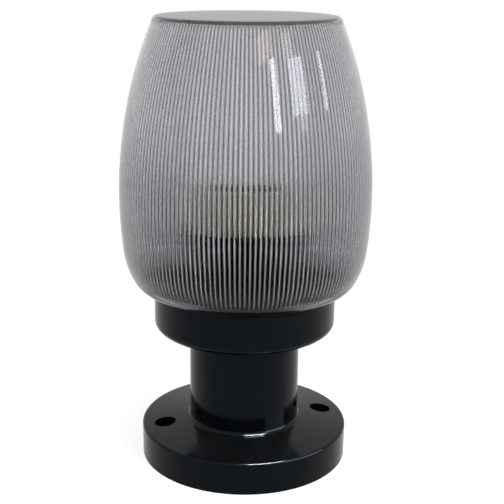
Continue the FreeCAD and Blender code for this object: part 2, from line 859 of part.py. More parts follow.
def make_lampholder_body():
    """Porcelain body with the shell's bore, driver grooves and terminal pockets."""
    body = new_body("lampholder_body")
    bore = S.shell_radius + S.shell_sheet + S.shell_gap
    turned(
        body,
        [
            (S.spring_hole_radius, stand_top),
            (S.holder_base_radius, stand_top),
            (S.holder_base_radius, holder_foot_top),
            (S.holder_radius, holder_foot_top),
            (S.holder_radius, holder_top),
            (bore, holder_top),
            (bore, shell_floor),
            (S.contact_well_radius, shell_floor),
            (S.contact_well_radius, well_floor),
            (S.spring_hole_radius, well_floor),
        ],
    )
    rounded(body, [(S.holder_radius, holder_top), (S.holder_base_radius, holder_foot_top)], S.holder_round)
    groove = new_sketch(body, "XY_Plane", (0, 0, holder_foot_top))
    hole = new_sketch(body, "XY_Plane", (0, 0, holder_foot_top + S.cut_overrun))
    for side in (1, -1):
        draw_circle(groove, 0, S.holder_screw_place * side, S.holder_groove_radius)
        draw_circle(hole, 0, S.holder_screw_place * side, S.small_screw_radius + S.screw_clearance)
    sunk(body, groove, S.holder_height, up=True)
    sunk(body, hole, S.holder_base_height + S.cut_overrun * 2)
    half = S.clamp_width / 2 + S.pocket_gap
    deep = S.clamp_length / 2 + S.pocket_gap
    pockets = new_sketch(body, "XY_Plane", (0, 0, stand_top))
    for side in (1, -1):
        middle = S.clamp_place * side
        draw(pockets, rectangle(middle - half, middle + half, -deep, deep))
    sunk(body, pockets, S.clamp_height + S.pocket_gap, up=True)
    wide = S.strap_width / 2 + S.pocket_gap
    channel = draw(
        new_sketch(body, "XY_Plane", (0, 0, stand_top)),
        rectangle(-S.clamp_place, S.spring_hole_radius + S.pocket_gap, -wide, wide),
    )
    sunk(body, channel, S.strap_thickness + S.pocket_gap, up=True)
    riser = draw_circle(
        new_sketch(body, "XY_Plane", (0, 0, stand_top)), S.clamp_place, 0, S.riser_radius + S.pocket_gap
    )
    sunk(body, riser, S.shell_seat + S.cut_overrun, up=True)
    return body


def make_screw_shell():
    """Sheet shell that carries the lamp's thread, with an inturned foot."""
    body = new_body("screw_shell")
    outer = S.shell_radius + S.shell_sheet
    turned(
        body,
        [
            (S.contact_well_radius, shell_floor),
            (outer, shell_floor),
            (outer, shell_floor + S.shell_height),
            (S.shell_radius, shell_floor + S.shell_height),
            (S.shell_radius, shell_floor + S.shell_sheet),
            (S.contact_well_radius, shell_floor + S.shell_sheet),
        ],
    )
    return body


contact_rest = well_floor + S.contact_travel + S.running_gap * 2
spring_foot = stand_top + S.strap_thickness + S.running_gap


def make_centre_contact():
    """Button that the lamp's tip pushes down; its stem passes the spring and the strip."""
    body = new_body("centre_contact")
    top = contact_rest + S.contact_head
    foot_top = stand_top - S.running_gap
    turned(
        body,
        [
            (0, foot_top - S.contact_foot),
            (S.contact_foot_radius, foot_top - S.contact_foot),
            (S.contact_foot_radius, foot_top),
            (S.contact_stem_radius, foot_top),
            (S.contact_stem_radius, contact_rest),
            (S.contact_radius, contact_rest),
            (S.contact_radius, top),
            (0, top),
        ],
    )
    rounded(body, [(S.contact_radius, top)], S.contact_head / 2)
    return body


def make_contact_spring():
    """Coil spring under the centre contact: one round wire wound on biarcs of a quarter turn."""
    low = (spring_foot + S.spring_wire / 2).value
    high = (contact_rest - S.running_gap - S.spring_wire / 2).value
    turns = int(S.spring_turns.value)
    radius = S.spring_radius.value
    quarters = 4 * turns
    rise = (high - low) / quarters

    def on_helix(quarter):
        angle = quarter * math.pi / 2
        return Vector(radius * math.cos(angle), radius * math.sin(angle), low + rise * quarter)

    arcs = [Part.Arc(on_helix(k), on_helix(k + 0.5), on_helix(k + 1)).toShape() for k in range(quarters)]
    path = Part.Wire(arcs)
    direction = path.Edges[0].tangentAt(path.Edges[0].FirstParameter)
    profile = Part.Wire(Part.Circle(on_helix(0), direction, S.spring_wire.value / 2).toShape())
    spring = doc.addObject("Part::Feature", "contact_spring")
    spring.Label = "contact_spring"
    spring.Shape = path.makePipeShell([profile], True, False)
    spring.Placement = Placement()
    nodes.append(spring)
    return spring


def clamp_blank(body, side):
    """The drilled and tapped brass block of one lampholder terminal."""
    middle = S.clamp_place * side
    half = S.clamp_width / 2
    block = draw(
        new_sketch(body, "XY_Plane", (0, 0, stand_top)),
        rectangle(middle - half, middle + half, -S.clamp_length / 2, S.clamp_length / 2),
    )
    raised(body, block, S.clamp_height)
    holes = new_sketch(body, "XY_Plane", (0, 0, stand_top))
    draw_circle(holes, middle, S.clamp_screw_place, S.clamp_screw_radius + S.thread_clearance)
    draw_circle(holes, middle, -S.clamp_wire_place, S.wire_radius + S.wire_gap)
    sunk(body, holes, S.clamp_screw_length + S.wire_gap, up=True)


def make_holder_terminals():
    """Live terminal with the strip under the spring, and neutral terminal with its riser."""
    live = new_body("live_terminal")
    clamp_blank(live, -1)
    half = S.strap_width / 2
    strap = draw(
        new_sketch(live, "XY_Plane", (0, 0, stand_top)),
        rectangle(-S.clamp_place + S.clamp_width / 2 - S.pocket_gap, S.spring_hole_radius, -half, half),
    )
    raised(live, strap, S.strap_thickness)
    hole = new_sketch(live, "XY_Plane", (0, 0, stand_top + S.strap_thickness))
    draw_circle(hole, 0, 0, S.contact_stem_radius + S.running_gap)
    sunk(live, hole, S.strap_thickness + S.cut_overrun)
    neutral = new_body("neutral_terminal")
    clamp_blank(neutral, 1)
    base = stand_top + S.clamp_height - S.pocket_gap
    pin = draw_circle(new_sketch(neutral, "XY_Plane", (0, 0, base)), S.clamp_place, 0, S.riser_radius)
    raised(neutral, pin, shell_floor - base)


# Terminal block and earth point in the post


def pole_places():
    """The poles' places along X."""
    number = int(round(S.pole_count.value))
    return [S.pole_pitch * (k - (number - 1) / 2) for k in range(number)]


def make_terminal_block():
    """Moulded block with a bore for each insert, screw wells and two fixing holes."""
    body = new_body("terminal_block")
    half = S.block_length / 2
    deep = S.block_width / 2
    blank = draw(
        new_sketch(body, "XY_Plane", (0, S.block_place, S.web_top)), rectangle(-half, half, -deep, deep)
    )
    raised(body, blank, S.block_height)
    axis = S.web_top + S.insert_height
    bores = new_sketch(body, "XZ_Plane", (0, axis, -S.block_place))
    wells = new_sketch(body, "XY_Plane", (0, S.block_place, S.web_top + S.block_height))
    for x in pole_places():
        draw_circle(bores, x, 0, S.insert_radius + S.pocket_gap)
        for side in (1, -1):
            draw_circle(wells, x, S.pole_screw_place * side, S.clamp_head_radius + S.pocket_gap)
    sunk(body, bores, S.block_width + S.cut_overrun, midplane=True)
    sunk(body, wells, S.block_height - S.insert_height)
    holes = new_sketch(body, "XY_Plane", (0, S.block_place, S.web_top + S.block_height))
    for side in (1, -1):
        draw_circle(holes, S.pole_pitch * side / 2, 0, S.clamp_screw_radius + S.screw_clearance)
    sunk(body, holes, S.block_height + S.cut_overrun)


def make_terminal_inserts():
    """Brass tubes with two tapped holes each, one per pole."""
    body = new_body("terminal_inserts")
    axis = S.web_top + S.insert_height
    rods = new_sketch(body, "XZ_Plane", (0, axis, -S.block_place))
    for x in pole_places():
        draw_circle(rods, x, 0, S.insert_radius)
    raised(body, rods, S.insert_length, midplane=True)
    bores = new_sketch(body, "XZ_Plane", (0, axis, -S.block_place))
    for x in pole_places():
        draw_circle(bores, x, 0, S.insert_bore)
    sunk(body, bores, S.insert_length + S.cut_overrun, midplane=True)
    taps = new_sketch(body, "XY_Plane", (0, S.block_place, axis + S.insert_radius))
    for x in pole_places():
        for side in (1, -1):
            draw_circle(taps, x, S.pole_screw_place * side, S.clamp_screw_radius + S.thread_clearance)
    sunk(body, taps, S.insert_radius)


def make_earth_lug():
    """Ring tongue with a crimped barrel that points along the terminal block's end."""
    body = new_body("earth_lug")
    ring = new_sketch(body, "XY_Plane", (S.earth_x, S.earth_y, S.web_top))
    draw_circle(ring, 0, 0, S.lug_ring_radius)
    raised(body, ring, S.lug_plate)
    half = S.lug_barrel_radius
    tongue = draw(
        new_sketch(body, "XY_Plane", (S.earth_x, S.earth_y, S.web_top)),
        rectangle(-half, half, 0, S.lug_neck + S.lug_barrel_length / 2),
    )
    raised(body, tongue, S.lug_plate)
    near = S.earth_y + S.lug_neck
    centre_height = S.web_top + S.lug_barrel_radius
    barrel = new_sketch(body, "XZ_Plane", (S.earth_x, centre_height, -near))
    draw_circle(barrel, 0, 0, S.lug_barrel_radius)
    raised(body, barrel, S.lug_barrel_length, down=True)
    bore = new_sketch(body, "XZ_Plane", (S.earth_x, centre_height, -(near + S.lug_barrel_length)))
    draw_circle(bore, 0, 0, S.wire_radius + S.wire_gap)
    sunk(body, bore, S.lug_barrel_length, up=True)
    hole = new_sketch(body, "XY_Plane", (S.earth_x, S.earth_y, S.web_top + S.lug_plate))
    draw_circle(hole, 0, 0, S.small_screw_radius + S.screw_clearance)
    sunk(body, hole, S.lug_plate)


def make_earth_washer():
    """Plain washer between the lug and the earth screw."""
    body = new_body("earth_washer")
    low = S.web_top + S.lug_plate
    inner = S.small_screw_radius + S.screw_clearance
    ring = rectangle(inner, S.earth_washer_radius, low, low + S.earth_washer_thickness)
    turned(body, ring, (S.earth_x, 0, -S.earth_y))


# Grommets and wires


def make_grommet(label, place, hole_radius, bore, low, high):
    """Rubber grommet in a plate between two heights; place is its Y."""
    body = new_body(label)
    lip = hole_radius + S.grommet_lip
    waist = hole_radius - S.grommet_gap
    under = low - S.grommet_gap
    over = high + S.grommet_gap
    turned(
        body,
        [
            (bore, under - S.grommet_lip_height),
            (lip, under - S.grommet_lip_height),
            (lip, under),
            (waist, under),
            (waist, over),
            (lip, over),
            (lip, over + S.grommet_lip_height),
            (bore, over + S.grommet_lip_height),
        ],
        (0, 0, -Size.of(place)),
    )


def wire_path(label, points):
    """Straight runs joined by arcs tangent to both, as large as the shorter run allows."""
    edges = []
    radii = []
    last = points[0]
    for before, corner, after in zip(points, points[1:], points[2:]):
        back = (before - corner).normalize()
        ahead = (after - corner).normalize()
        reach = S.bend_share.value * min((before - corner).Length, (after - corner).Length)
        start = corner + back * reach
        end = corner + ahead * reach
        half_turn = (math.pi - back.getAngle(ahead)) / 2
        radius = reach / math.tan(half_turn)
        middle = corner + (back + ahead).normalize() * (math.hypot(radius, reach) - radius)
        edges.append(Part.LineSegment(last, start).toShape())
        edges.append(Part.Arc(start, middle, end).toShape())
        radii.append(radius)
        last = end
    edges.append(Part.LineSegment(last, points[-1]).toShape())
    print(f"{label}: tightest bend {min(radii):.1f}")
    return Part.Wire(edges)


def make_wire(label, points):
    """Insulated wire along a route of (x, y, z) sizes."""
    route = [Vector(*[Size.of(part).value for part in point]) for point in points]
    path = wire_path(label, route)
    profile = Part.Wire(Part.Circle(route[0], (route[1] - route[0]), S.wire_radius.value).toShape())
    wire = doc.addObject("Part::Feature", label)
    wire.Label = label
    wire.Shape = path.makePipeShell([profile], True, False)
    wire.Placement = Placement()
    nodes.append(wire)
    expected = math.pi * S.wire_radius.value**2 * path.Length
    if abs(wire.Shape.Volume - expected) > expected / 100:
        raise RuntimeError(f"{label} has an unexpected volume")
    return wire


# A lamp wire in the post: shares of its pole's place, of the bend behind the block and of the rise
POST_ROUTE_SHARES = [
    (1, 1, 0),
    (0.93, 1.12, 0.14),
    (0.66, 0.84, 0.34),
    (0.26, 0.4, 0.55),
    (0.02, 0.08, 0.76),
]
# The same wire in the stand: shares of its way out to the terminal and of the rise
STAND_ROUTE_SHARES = [(0.35, 0.1, 0.3), (0.85, 0.9, 0.58), (1, 1.5, 0.78)]


def between(start, end, share):
    """The place at that share of the way from start to end."""
    return start + (end - start) * share


def make_wires():
    """Lamp wires from the terminal block through the collar to the lampholder, and the earth wire."""
    axis = S.web_top + S.insert_height
    mouth = S.block_place + S.pole_screw_place + S.clamp_screw_radius + S.wire_gap
    bend = post_bore - S.wire_radius * 10
    in_collar = collar_floor_top + S.collar_floor
    clamp_mouth = stand_top + S.clamp_screw_length / 2
    for label, pole, side in (("live_wire", 0, -1), ("neutral_wire", S.pole_pitch, 1)):
        in_grommet = S.wire_spread * side
        at_clamp = S.clamp_place * side
        route = [(pole, mouth, axis)]
        for x_share, y_share, z_share in POST_ROUTE_SHARES:
            x = between(in_grommet, pole, x_share)
            route.append((x, bend * y_share, between(axis, in_collar, z_share)))
        route.append((in_grommet, 0, in_collar))
        for x_share, y_share, z_share in STAND_ROUTE_SHARES:
            x = between(in_grommet, at_clamp, x_share)
            route.append((x, -(S.clamp_wire_place * y_share), between(in_collar, stand_top, z_share)))
        route.append((at_clamp, -S.clamp_wire_place, stand_top - S.wire_radius * 4))
        route.append((at_clamp, -S.clamp_wire_place, clamp_mouth))
        make_wire(label, route)
    barrel_end = S.earth_y + S.lug_neck + S.lug_barrel_length
    barrel_axis = S.web_top + S.lug_barrel_radius
    make_wire(
        "earth_wire",
        [
            (S.earth_x, barrel_end - S.lug_barrel_length / 2, barrel_axis),
            (S.earth_x, bend, barrel_axis + S.wire_radius),
            (-S.pole_pitch, bend, axis),
            (-S.pole_pitch, mouth, axis),
        ],
    )


# Assembly


def make_fasteners():
    """Every screw of the light, each ring of like screws in one node."""
    make_screws(
        "collar_screws",
        ring_places(S.collar_screw_place, S.screw_count),
        collar_floor_top + S.washer_thickness,
        S.collar_screw_length,
        S.collar_screw_radius,
        S.collar_screw_head_radius,
        S.collar_screw_head_height,
        S.slot_width,
    )
    make_screws(
        "stand_screws",
        ring_places(S.stand_screw_place, S.screw_count),
        stand_foot_top,
        S.stand_screw_length,
        S.small_screw_radius,
        S.small_head_radius,
        S.small_head_height,
        S.slot_width,
    )
    make_screws(
        "holder_screws",
        [(0, S.holder_screw_place), (0, -S.holder_screw_place)],
        holder_foot_top,
        S.holder_screw_length,
        S.small_screw_radius,
        S.small_head_radius,
        S.small_head_height,
        S.slot_width,
    )
    make_screws(
        "holder_terminal_screws",
        [(S.clamp_place, S.clamp_screw_place), (-S.clamp_place, S.clamp_screw_place)],
        stand_top,
        S.clamp_screw_length,
        S.clamp_screw_radius,
        S.clamp_head_radius - S.pocket_gap,
        S.clamp_head_height,
        S.fine_slot,
        upwards=False,
    )
    axis = S.web_top + S.insert_height
    make_screws(
        "terminal_clamp_screws",
        [(x, S.block_place + S.pole_screw_place * side) for x in pole_places() for side in (1, -1)],
        axis + S.insert_radius,
        S.pole_screw_length,
        S.clamp_screw_radius,
        S.clamp_head_radius,
        S.clamp_head_height,
        S.fine_slot,
    )
    make_screws(
        "terminal_block_screws",
        [(S.pole_pitch / 2, S.block_place), (-S.pole_pitch / 2, S.block_place)],
        S.web_top + S.block_height,
        S.block_height + S.web_thickness,
        S.clamp_screw_radius,
        S.clamp_head_radius,
        S.clamp_head_height,
        S.fine_slot,
    )
    make_screws(
        "earth_screw",
        [(S.earth_x, S.earth_y)],
        S.web_top + S.lug_plate + S.earth_washer_thickness,
        S.earth_screw_length,
        S.small_screw_radius,
        S.small_head_radius,
        S.small_head_height,
        S.slot_width,
    )
    make_washers()
    make_nuts()


def export(folder):
    """Stops on any failed object or empty shape, then writes one STEP file for each sub-part."""
    doc.recompute()
    for thing in doc.Objects:
        if {"Invalid", "Error"} & set(thing.State):
            raise RuntimeError(f"{thing.Label} failed: {thing.State}")
    for node in nodes:
        shape = node.Shape
        if shape.isNull() or not shape.isValid() or not shape.Solids:
            raise RuntimeError(f"{node.Label} has no valid solid")
    for node in nodes:
        node.Shape.exportStep(os.path.join(folder, f"{node.Label}.step"))


def main():
    """Builds every sub-part and writes it."""
    make_base_casting()
    make_post_gasket()
    make_collar()
    make_globe()
    make_globe_gasket()
    make_stand()
    make_lampholder_body()
    make_screw_shell()
    make_centre_contact()
    make_contact_spring()
    make_holder_terminals()
    make_terminal_block()
    make_terminal_inserts()
    make_earth_lug()
    make_earth_washer()
    make_grommet(
        "cable_grommet", -S.cable_hole_place, S.cable_hole_radius, S.cable_bore, web_bottom, S.web_top
    )
    make_grommet("wire_grommet", 0, S.wire_hole_radius, S.wire_bore, collar_bottom, collar_floor_top)
    make_wires()
    make_fasteners()
    os.makedirs("parts", exist_ok=True)
    export("parts")


main()
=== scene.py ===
"""Gate globe light: its fluted globe, its finishes and a plain pale studio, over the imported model."""

import functools
import logging
import math
from dataclasses import dataclass
from enum import Enum
from typing import Optional, Sequence

import bmesh
import bpy
from mathutils import Matrix, Vector


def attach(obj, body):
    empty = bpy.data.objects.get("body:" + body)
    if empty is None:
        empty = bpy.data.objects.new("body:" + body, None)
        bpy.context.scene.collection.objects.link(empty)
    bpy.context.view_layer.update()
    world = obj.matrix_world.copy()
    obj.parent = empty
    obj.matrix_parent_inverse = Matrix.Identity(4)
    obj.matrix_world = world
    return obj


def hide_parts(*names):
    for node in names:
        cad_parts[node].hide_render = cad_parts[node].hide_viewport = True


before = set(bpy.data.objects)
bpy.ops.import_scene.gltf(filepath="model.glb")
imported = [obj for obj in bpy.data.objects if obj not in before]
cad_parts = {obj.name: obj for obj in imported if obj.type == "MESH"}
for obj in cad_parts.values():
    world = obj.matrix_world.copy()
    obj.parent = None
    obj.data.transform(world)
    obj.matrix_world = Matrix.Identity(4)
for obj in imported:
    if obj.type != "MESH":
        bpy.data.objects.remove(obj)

Colour = tuple[float, float, float]
Place = tuple[float, float, float]
Point = tuple[float, float]
Range = tuple[float, float]
Socket = bpy.types.NodeSocket
Material = bpy.types.Material
Mesh = bmesh.types.BMesh
Corner = bmesh.types.BMVert
Face = bmesh.types.BMFace

NOISE_RANGE: Range = (0.3, 0.7)
GLOSS_INDEX = 1.5
WHITE: Colour = (1.0, 1.0, 1.0)
PAINTED = ("base_casting", "collar")

log = logging.getLogger("gate_globe_light")


class Surroundings(Enum):
    """Kinds of ray to which the floor and the world show their own white."""

    CAMERA = "Is Camera Ray"
    GLOSSY = "Is Glossy Ray"
    TRANSMISSION = "Is Transmission Ray"


class LampUse(Enum):
    """What one lamp is there for: to light dull surfaces, or to be mirrored by glossy ones."""

    LIGHT = "light"
    MIRRORED = "mirrored"


class ReedPart(Enum):
    """Parts of a reed, by the index of their material."""

    FACE = 1
    FLANK = 2
    CREST = 3


@dataclass(frozen=True)
class Grain:
    """One layer of noise: the width of its grains, its finer layers and, as relief, its full height."""

    size: float
    detail: float = 3.0
    rough: float = 0.5
    height: float = 0.0


class Nodes:
    """The nodes of a material or a world, while they are built."""

    def __init__(self, tree: bpy.types.NodeTree) -> None:
        """Starts with no nodes.

        Args:
            tree: the material's or world's tree.
        """
        self.tree = tree
        tree.nodes.clear()

    def join(self, source: Socket, socket: Socket) -> None:
        """Joins one node's socket to another's."""
        self.tree.links.new(source, socket)

    def add(self, kind: str, *sources: Socket, **settings: object) -> bpy.types.Node:
        """Adds one node.

        Args:
            kind: the node's type.
            sources: what is joined to its first sockets, in order.
            settings: attributes to set on it.

        Returns:
            The new node.
        """
        node = self.tree.nodes.new(kind)
        for key, value in settings.items():
            setattr(node, key, value)
        for socket, source in zip(node.inputs, sources):
            self.join(source, socket)
        return node

    @staticmethod
    def fill(node: bpy.types.Node, **values: object) -> None:
        """Sets plain values on a node's sockets.

        Args:
            node: the node.
            values: the value of each socket, whose name has underscores for its spaces.
        """
        for key, value in values.items():
            node.inputs[key.replace("_", " ")].default_value = value

    def between(self, factor: Socket, source: Range, result: Range) -> Socket:
        """Carries a factor from one range over to another and stops at its ends.

        Args:
            factor: the factor to carry over.
            source: its two ends.
            result: the results at those ends.

        Returns:
            The new value.
        """
        node = self.add("ShaderNodeMapRange", factor)
        self.fill(node, From_Min=source[0], From_Max=source[1], To_Min=result[0], To_Max=result[1])
        return node.outputs["Result"]

    def math(self, kind: str, first: Socket, second: float | Socket) -> Socket:
        """One sum of two values.

        Args:
            kind: the operation.
            first: its first value.
            second: its second value, a number or another socket.

        Returns:
            The result.
        """
        node = self.add("ShaderNodeMath", first, operation=kind)
        if isinstance(second, Socket):
            self.join(second, node.inputs[1])
        else:
            node.inputs[1].default_value = second
        return node.outputs[0]


class Shading(Nodes):
    """The nodes of one material, with a Principled shader already joined to its output."""

    def __init__(self, name: str) -> None:
        """Starts a new material.

        Args:
            name: the material's name.
        """
        self.material = bpy.data.materials.new(name)
        self.material.use_nodes = True
        super().__init__(self.material.node_tree)
        self.shader = self.add("ShaderNodeBsdfPrincipled")
        self.add("ShaderNodeOutputMaterial", self.shader.outputs["BSDF"])
        self.place = self.add("ShaderNodeTexCoord").outputs["Object"]

    def fixed(self, **values: object) -> None:
        """Sets plain values on the shader's sockets."""
        self.fill(self.shader, **values)

    def drive(self, socket: str, source: Socket) -> None:
        """Joins a source to one of the shader's sockets."""
        self.join(source, self.shader.inputs[socket])

    def noise(self, grain: Grain) -> Socket:
        """A noise of one kind of grain.

        Args:
            grain: its grains.

        Returns:
            The noise's factor.
        """
        node = self.add("ShaderNodeTexNoise", self.place)
        self.fill(node, Scale=1.0 / grain.size, Detail=grain.detail, Roughness=grain.rough)
        return node.outputs["Fac"]

    def ramp(self, factor: Socket, stops: Sequence[tuple[float, Colour]]) -> Socket:
        """Turns a factor into a colour.

        Args:
            factor: the factor to look up.
            stops: place and colour of each stop, in order.

        Returns:
            The colour.
        """
        node = self.add("ShaderNodeValToRGB", factor)
        elements = node.color_ramp.elements
        while len(elements) < len(stops):
            elements.new(0.5)
        for element, (place, colour) in zip(elements, stops):
            element.position = place
            element.color = (*colour, 1.0)
        return node.outputs["Color"]

    def spread(self, factor: Socket, result: Range) -> Socket:
        """Spreads the range in which noise mostly lies over another one."""
        return self.between(factor, NOISE_RANGE, result)

    def parts(self, vector: Socket) -> tuple[Socket, ...]:
        """Takes a vector apart into its X, Y and Z."""
        return tuple(self.add("ShaderNodeSeparateXYZ", vector).outputs)

    def normal(self) -> tuple[Socket, ...]:
        """X, Y and Z of the way a face looks, each from -1 to 1."""
        return self.parts(self.add("ShaderNodeNewGeometry").outputs["Normal"])

    def bump(self, *grains: Grain) -> None:
        """Adds up layers of relief and bends the shader's normal by them.

        Args:
            grains: the layers.
        """
        normal: Optional[Socket] = None
        for grain in grains:
            node = self.add("ShaderNodeBump")
            self.fill(node, Strength=1.0, Distance=grain.height)
            self.join(self.noise(grain), node.inputs["Height"])
            if normal is not None:
                self.join(normal, node.inputs["Normal"])
            normal = node.outputs["Normal"]
        if normal is not None:
            self.drive("Normal", normal)


@dataclass(frozen=True)
class PowderCoat:
    """Black powder coat: a fine orange peel; what looks up is lighter, partly a little dust and partly a
    painted highlight.
    """

    name: str
    colour: Colour = (0.0015, 0.0023, 0.0029)
    dust_and_highlight: Colour = (0.016, 0.0178, 0.0195)
    roughness: Range = (0.09, 0.17)
    sheen_level: float = 0.11
    sheen_tint: Colour = (0.72, 0.92, 1.0)
    dust_and_highlight_cloud: Grain = Grain(0.03, 4.0, 0.6)
    smears: Grain = Grain(0.006, 5.0, 0.6)
    peel: Grain = Grain(0.0016, 2.0, 0.4, 0.000008)
    fine_peel: Grain = Grain(0.0004, 1.0, 0.4, 0.000002)

    def make(self) -> Material:
        """Builds the paint.

        Returns:
            Its material.
        """
        look = Shading(self.name)
        look.fixed(
            IOR=GLOSS_INDEX,
            Specular_IOR_Level=self.sheen_level,
            Specular_Tint=(*self.sheen_tint, 1.0),
        )
        # Faces that look up are lightened: partly dust, partly a painted highlight.
        upward = look.spread(look.normal()[2], (0.0, 1.0))
        dust_and_highlight_share = look.math("MULTIPLY", upward, look.noise(self.dust_and_highlight_cloud))
        look.drive("Base Color", look.ramp(dust_and_highlight_share, [(0.0, self.colour), (1.0, self.dust_and_highlight)]))
        look.drive("Roughness", look.spread(look.noise(self.smears), self.roughness))
        look.bump(self.peel, self.fine_peel)
        return look.material


@dataclass(frozen=True)
class Fade:
    """A change with height: all at one height, fading evenly to the share left past another."""

    past: float
    all_at: float
    left: float


@dataclass(frozen=True)
class Wear:
    """A little haze that grows over a range of heights and a range of distances from the axis."""

    height: Range
    reach: Range = (0.0675, 0.07)
    clearness: float = 0.86


@dataclass(frozen=True)
class ClearAcrylic:
    """Clear smoky acrylic with the faint ripple of its mould.

    It is smokier where light crosses it aslant. The outer skin has a polish that mirrors the panes, and
    mirrors less at its very rim, so that the outline stays dark against white. It is worn a little hazy
    where it turns over to the flat top. Painted shade darkens the acrylic by height, and a painted-shade
    haze dims it.
    """

    name: str
    tint: Colour
    slant_tint: Colour
    tint_facing: Range = (0.25, 0.8)
    shine: float = 0.035
    polish: float = 0.0
    polish_fades: tuple[Fade, ...] = (Fade(0.235, 0.275, 0.2), Fade(0.3545, 0.353, 0.1))
    coat_roughness: float = 0.06
    index: float = 1.49
    rim_index: float = 1.49
    rim_facing: Range = (0.6, 0.95)
    wear: Optional[Wear] = None
    painted_shade: tuple[Fade, ...] = ()
    painted_shade_haze: tuple[Fade, ...] = ()
    roughness: Range = (0.015, 0.03)
    smears: Grain = Grain(0.02)
    ripple: Grain = Grain(0.03, 1.0, height=0.00002)

    def make(self) -> Material:
        """Builds the acrylic.

        Returns:
            Its material.
        """
        look = Shading(self.name)
        look.fixed(
            IOR=self.index,
            Transmission_Weight=1.0,
            Specular_Tint=(self.shine, self.shine, self.shine, 1.0),
            Coat_Roughness=self.coat_roughness,
        )
        height = look.parts(look.place)[2]
        facing = look.add("ShaderNodeLayerWeight").outputs["Facing"]
        colour = look.ramp(facing, tuple(zip(self.tint_facing, (self.tint, self.slant_tint))))
        # Painted shade: the colour is darkened by height.
        if self.painted_shade:
            painted_shade_colour = look.add("ShaderNodeVectorMath", colour, operation="SCALE")
            look.join(self.faded(look, height, self.painted_shade), painted_shade_colour.inputs["Scale"])
            colour = painted_shade_colour.outputs["Vector"]
        look.drive("Base Color", colour)
        if self.polish:
            share = self.faded(look, height, self.polish_fades)
            look.drive("Coat Weight", look.math("MULTIPLY", share, self.polish))
        # Painted shade: a haze dims the acrylic by height.
        if self.painted_shade_haze:
            look.drive("Transmission Weight", self.faded(look, height, self.painted_shade_haze))
        if self.wear is not None:
            look.drive("Transmission Weight", self.worn(look, height, self.wear))
        if self.rim_index != self.index:
            look.drive("IOR", look.between(facing, self.rim_facing, (self.index, self.rim_index)))
        look.drive("Roughness", look.spread(look.noise(self.smears), self.roughness))
        look.bump(self.ripple)
        return look.material

    @staticmethod
    def faded(look: Shading, height: Socket, fades: Sequence[Fade]) -> Socket:
        """What several fades leave at a height.

        Args:
            look: the material being built.
            height: the height above the ground.
            fades: the fades, which work on one another's result.

        Returns:
            The share that is left.
        """
        shares = [look.between(height, (fade.past, fade.all_at), (fade.left, 1.0)) for fade in fades]
        total = shares[0]
        for share in shares[1:]:
            total = look.math("MULTIPLY", total, share)
        return total

    @staticmethod
    def worn(look: Shading, height: Socket, wear: Wear) -> Socket:
        """How clear the skin is where it is worn and elsewhere.

        Args:
            look: the material being built.
            height: the height above the ground.
            wear: where it is worn, and how much.

        Returns:
            The weight of what shines through.
        """
        level = look.add("ShaderNodeVectorMath", look.place, operation="MULTIPLY")
        level.inputs[1].default_value = (1.0, 1.0, 0.0)
        reach = look.add("ShaderNodeVectorMath", level.outputs["Vector"], operation="LENGTH")
        high = look.between(height, wear.height, (0.0, 1.0))
        far = look.between(reach.outputs["Value"], wear.reach, (0.0, 1.0))
        return look.between(look.math("MULTIPLY", high, far), (0.0, 1.0), (1.0, wear.clearness))


@dataclass(frozen=True)
class GlazedPorcelain:
    """Cream porcelain under a clear glaze, slightly uneven, with a few iron specks."""

    name: str
    colour: Colour = (0.74, 0.72, 0.48)
    shade: Colour = (0.62, 0.59, 0.4)
    speck: Colour = (0.32, 0.24, 0.15)
    depth: float = 0.15
    glaze: float = 0.8
    glaze_roughness: float = 0.06
    roughness: Range = (0.25, 0.36)
    cloud: Grain = Grain(0.012, 4.0, 0.55)
    specks: Grain = Grain(0.0009, 1.0, 0.3)
    waves: Grain = Grain(0.01, 2.0, height=0.00006)
    pits: Grain = Grain(0.0012, 1.0, height=0.00001)

    def make(self) -> Material:
        """Builds the porcelain.

        Returns:
            Its material.
        """
        look = Shading(self.name)
        look.fixed(
            IOR=GLOSS_INDEX,
            Subsurface_Weight=self.depth,
            Subsurface_Radius=(0.004, 0.003, 0.002),
            Subsurface_Scale=0.4,
            Coat_Weight=self.glaze,
            Coat_Roughness=self.glaze_roughness,
        )
        cloud = look.noise(self.cloud)
        body = look.ramp(cloud, [(0.35, self.shade), (0.65, self.colour)])
        stops = [(0.0, self.speck), (0.2, self.speck), (0.24, WHITE)]
        specks = look.ramp(look.noise(self.specks), stops)
        mixed = look.add("ShaderNodeMix", data_type="RGBA", blend_type="MULTIPLY")
        mixed.inputs["Factor"].default_value = 1.0
        look.join(body, mixed.inputs["A"])
        look.join(specks, mixed.inputs["B"])
        look.drive("Base Color", mixed.outputs["Result"])
        look.drive("Roughness", look.spread(cloud, self.roughness))
        look.bump(self.waves, self.pits)
        return look.material


@dataclass(frozen=True)
class BareMetal:
    """Plated, drawn or turned metal, with a duller film in patches and fine drawing lines."""

    name: str
    colour: Colour
    film: Colour
    roughness: float = 0.24
    film_roughness: float = 0.14
    patches: Grain = Grain(0.004, 5.0, 0.6)
    lines: Grain = Grain(0.0003, 2.0, height=0.000004)

    def make(self) -> Material:
        """Builds the metal.

        Returns:
            Its material.
        """
        look = Shading(self.name)
        look.fixed(Metallic=1.0)
        patch = look.noise(self.patches)
        look.drive("Base Color", look.ramp(patch, [(0.38, self.film), (0.6, self.colour)]))
        dull = self.roughness + self.film_roughness
        look.drive("Roughness", look.spread(patch, (dull, self.roughness)))
        look.bump(self.lines)
        return look.material


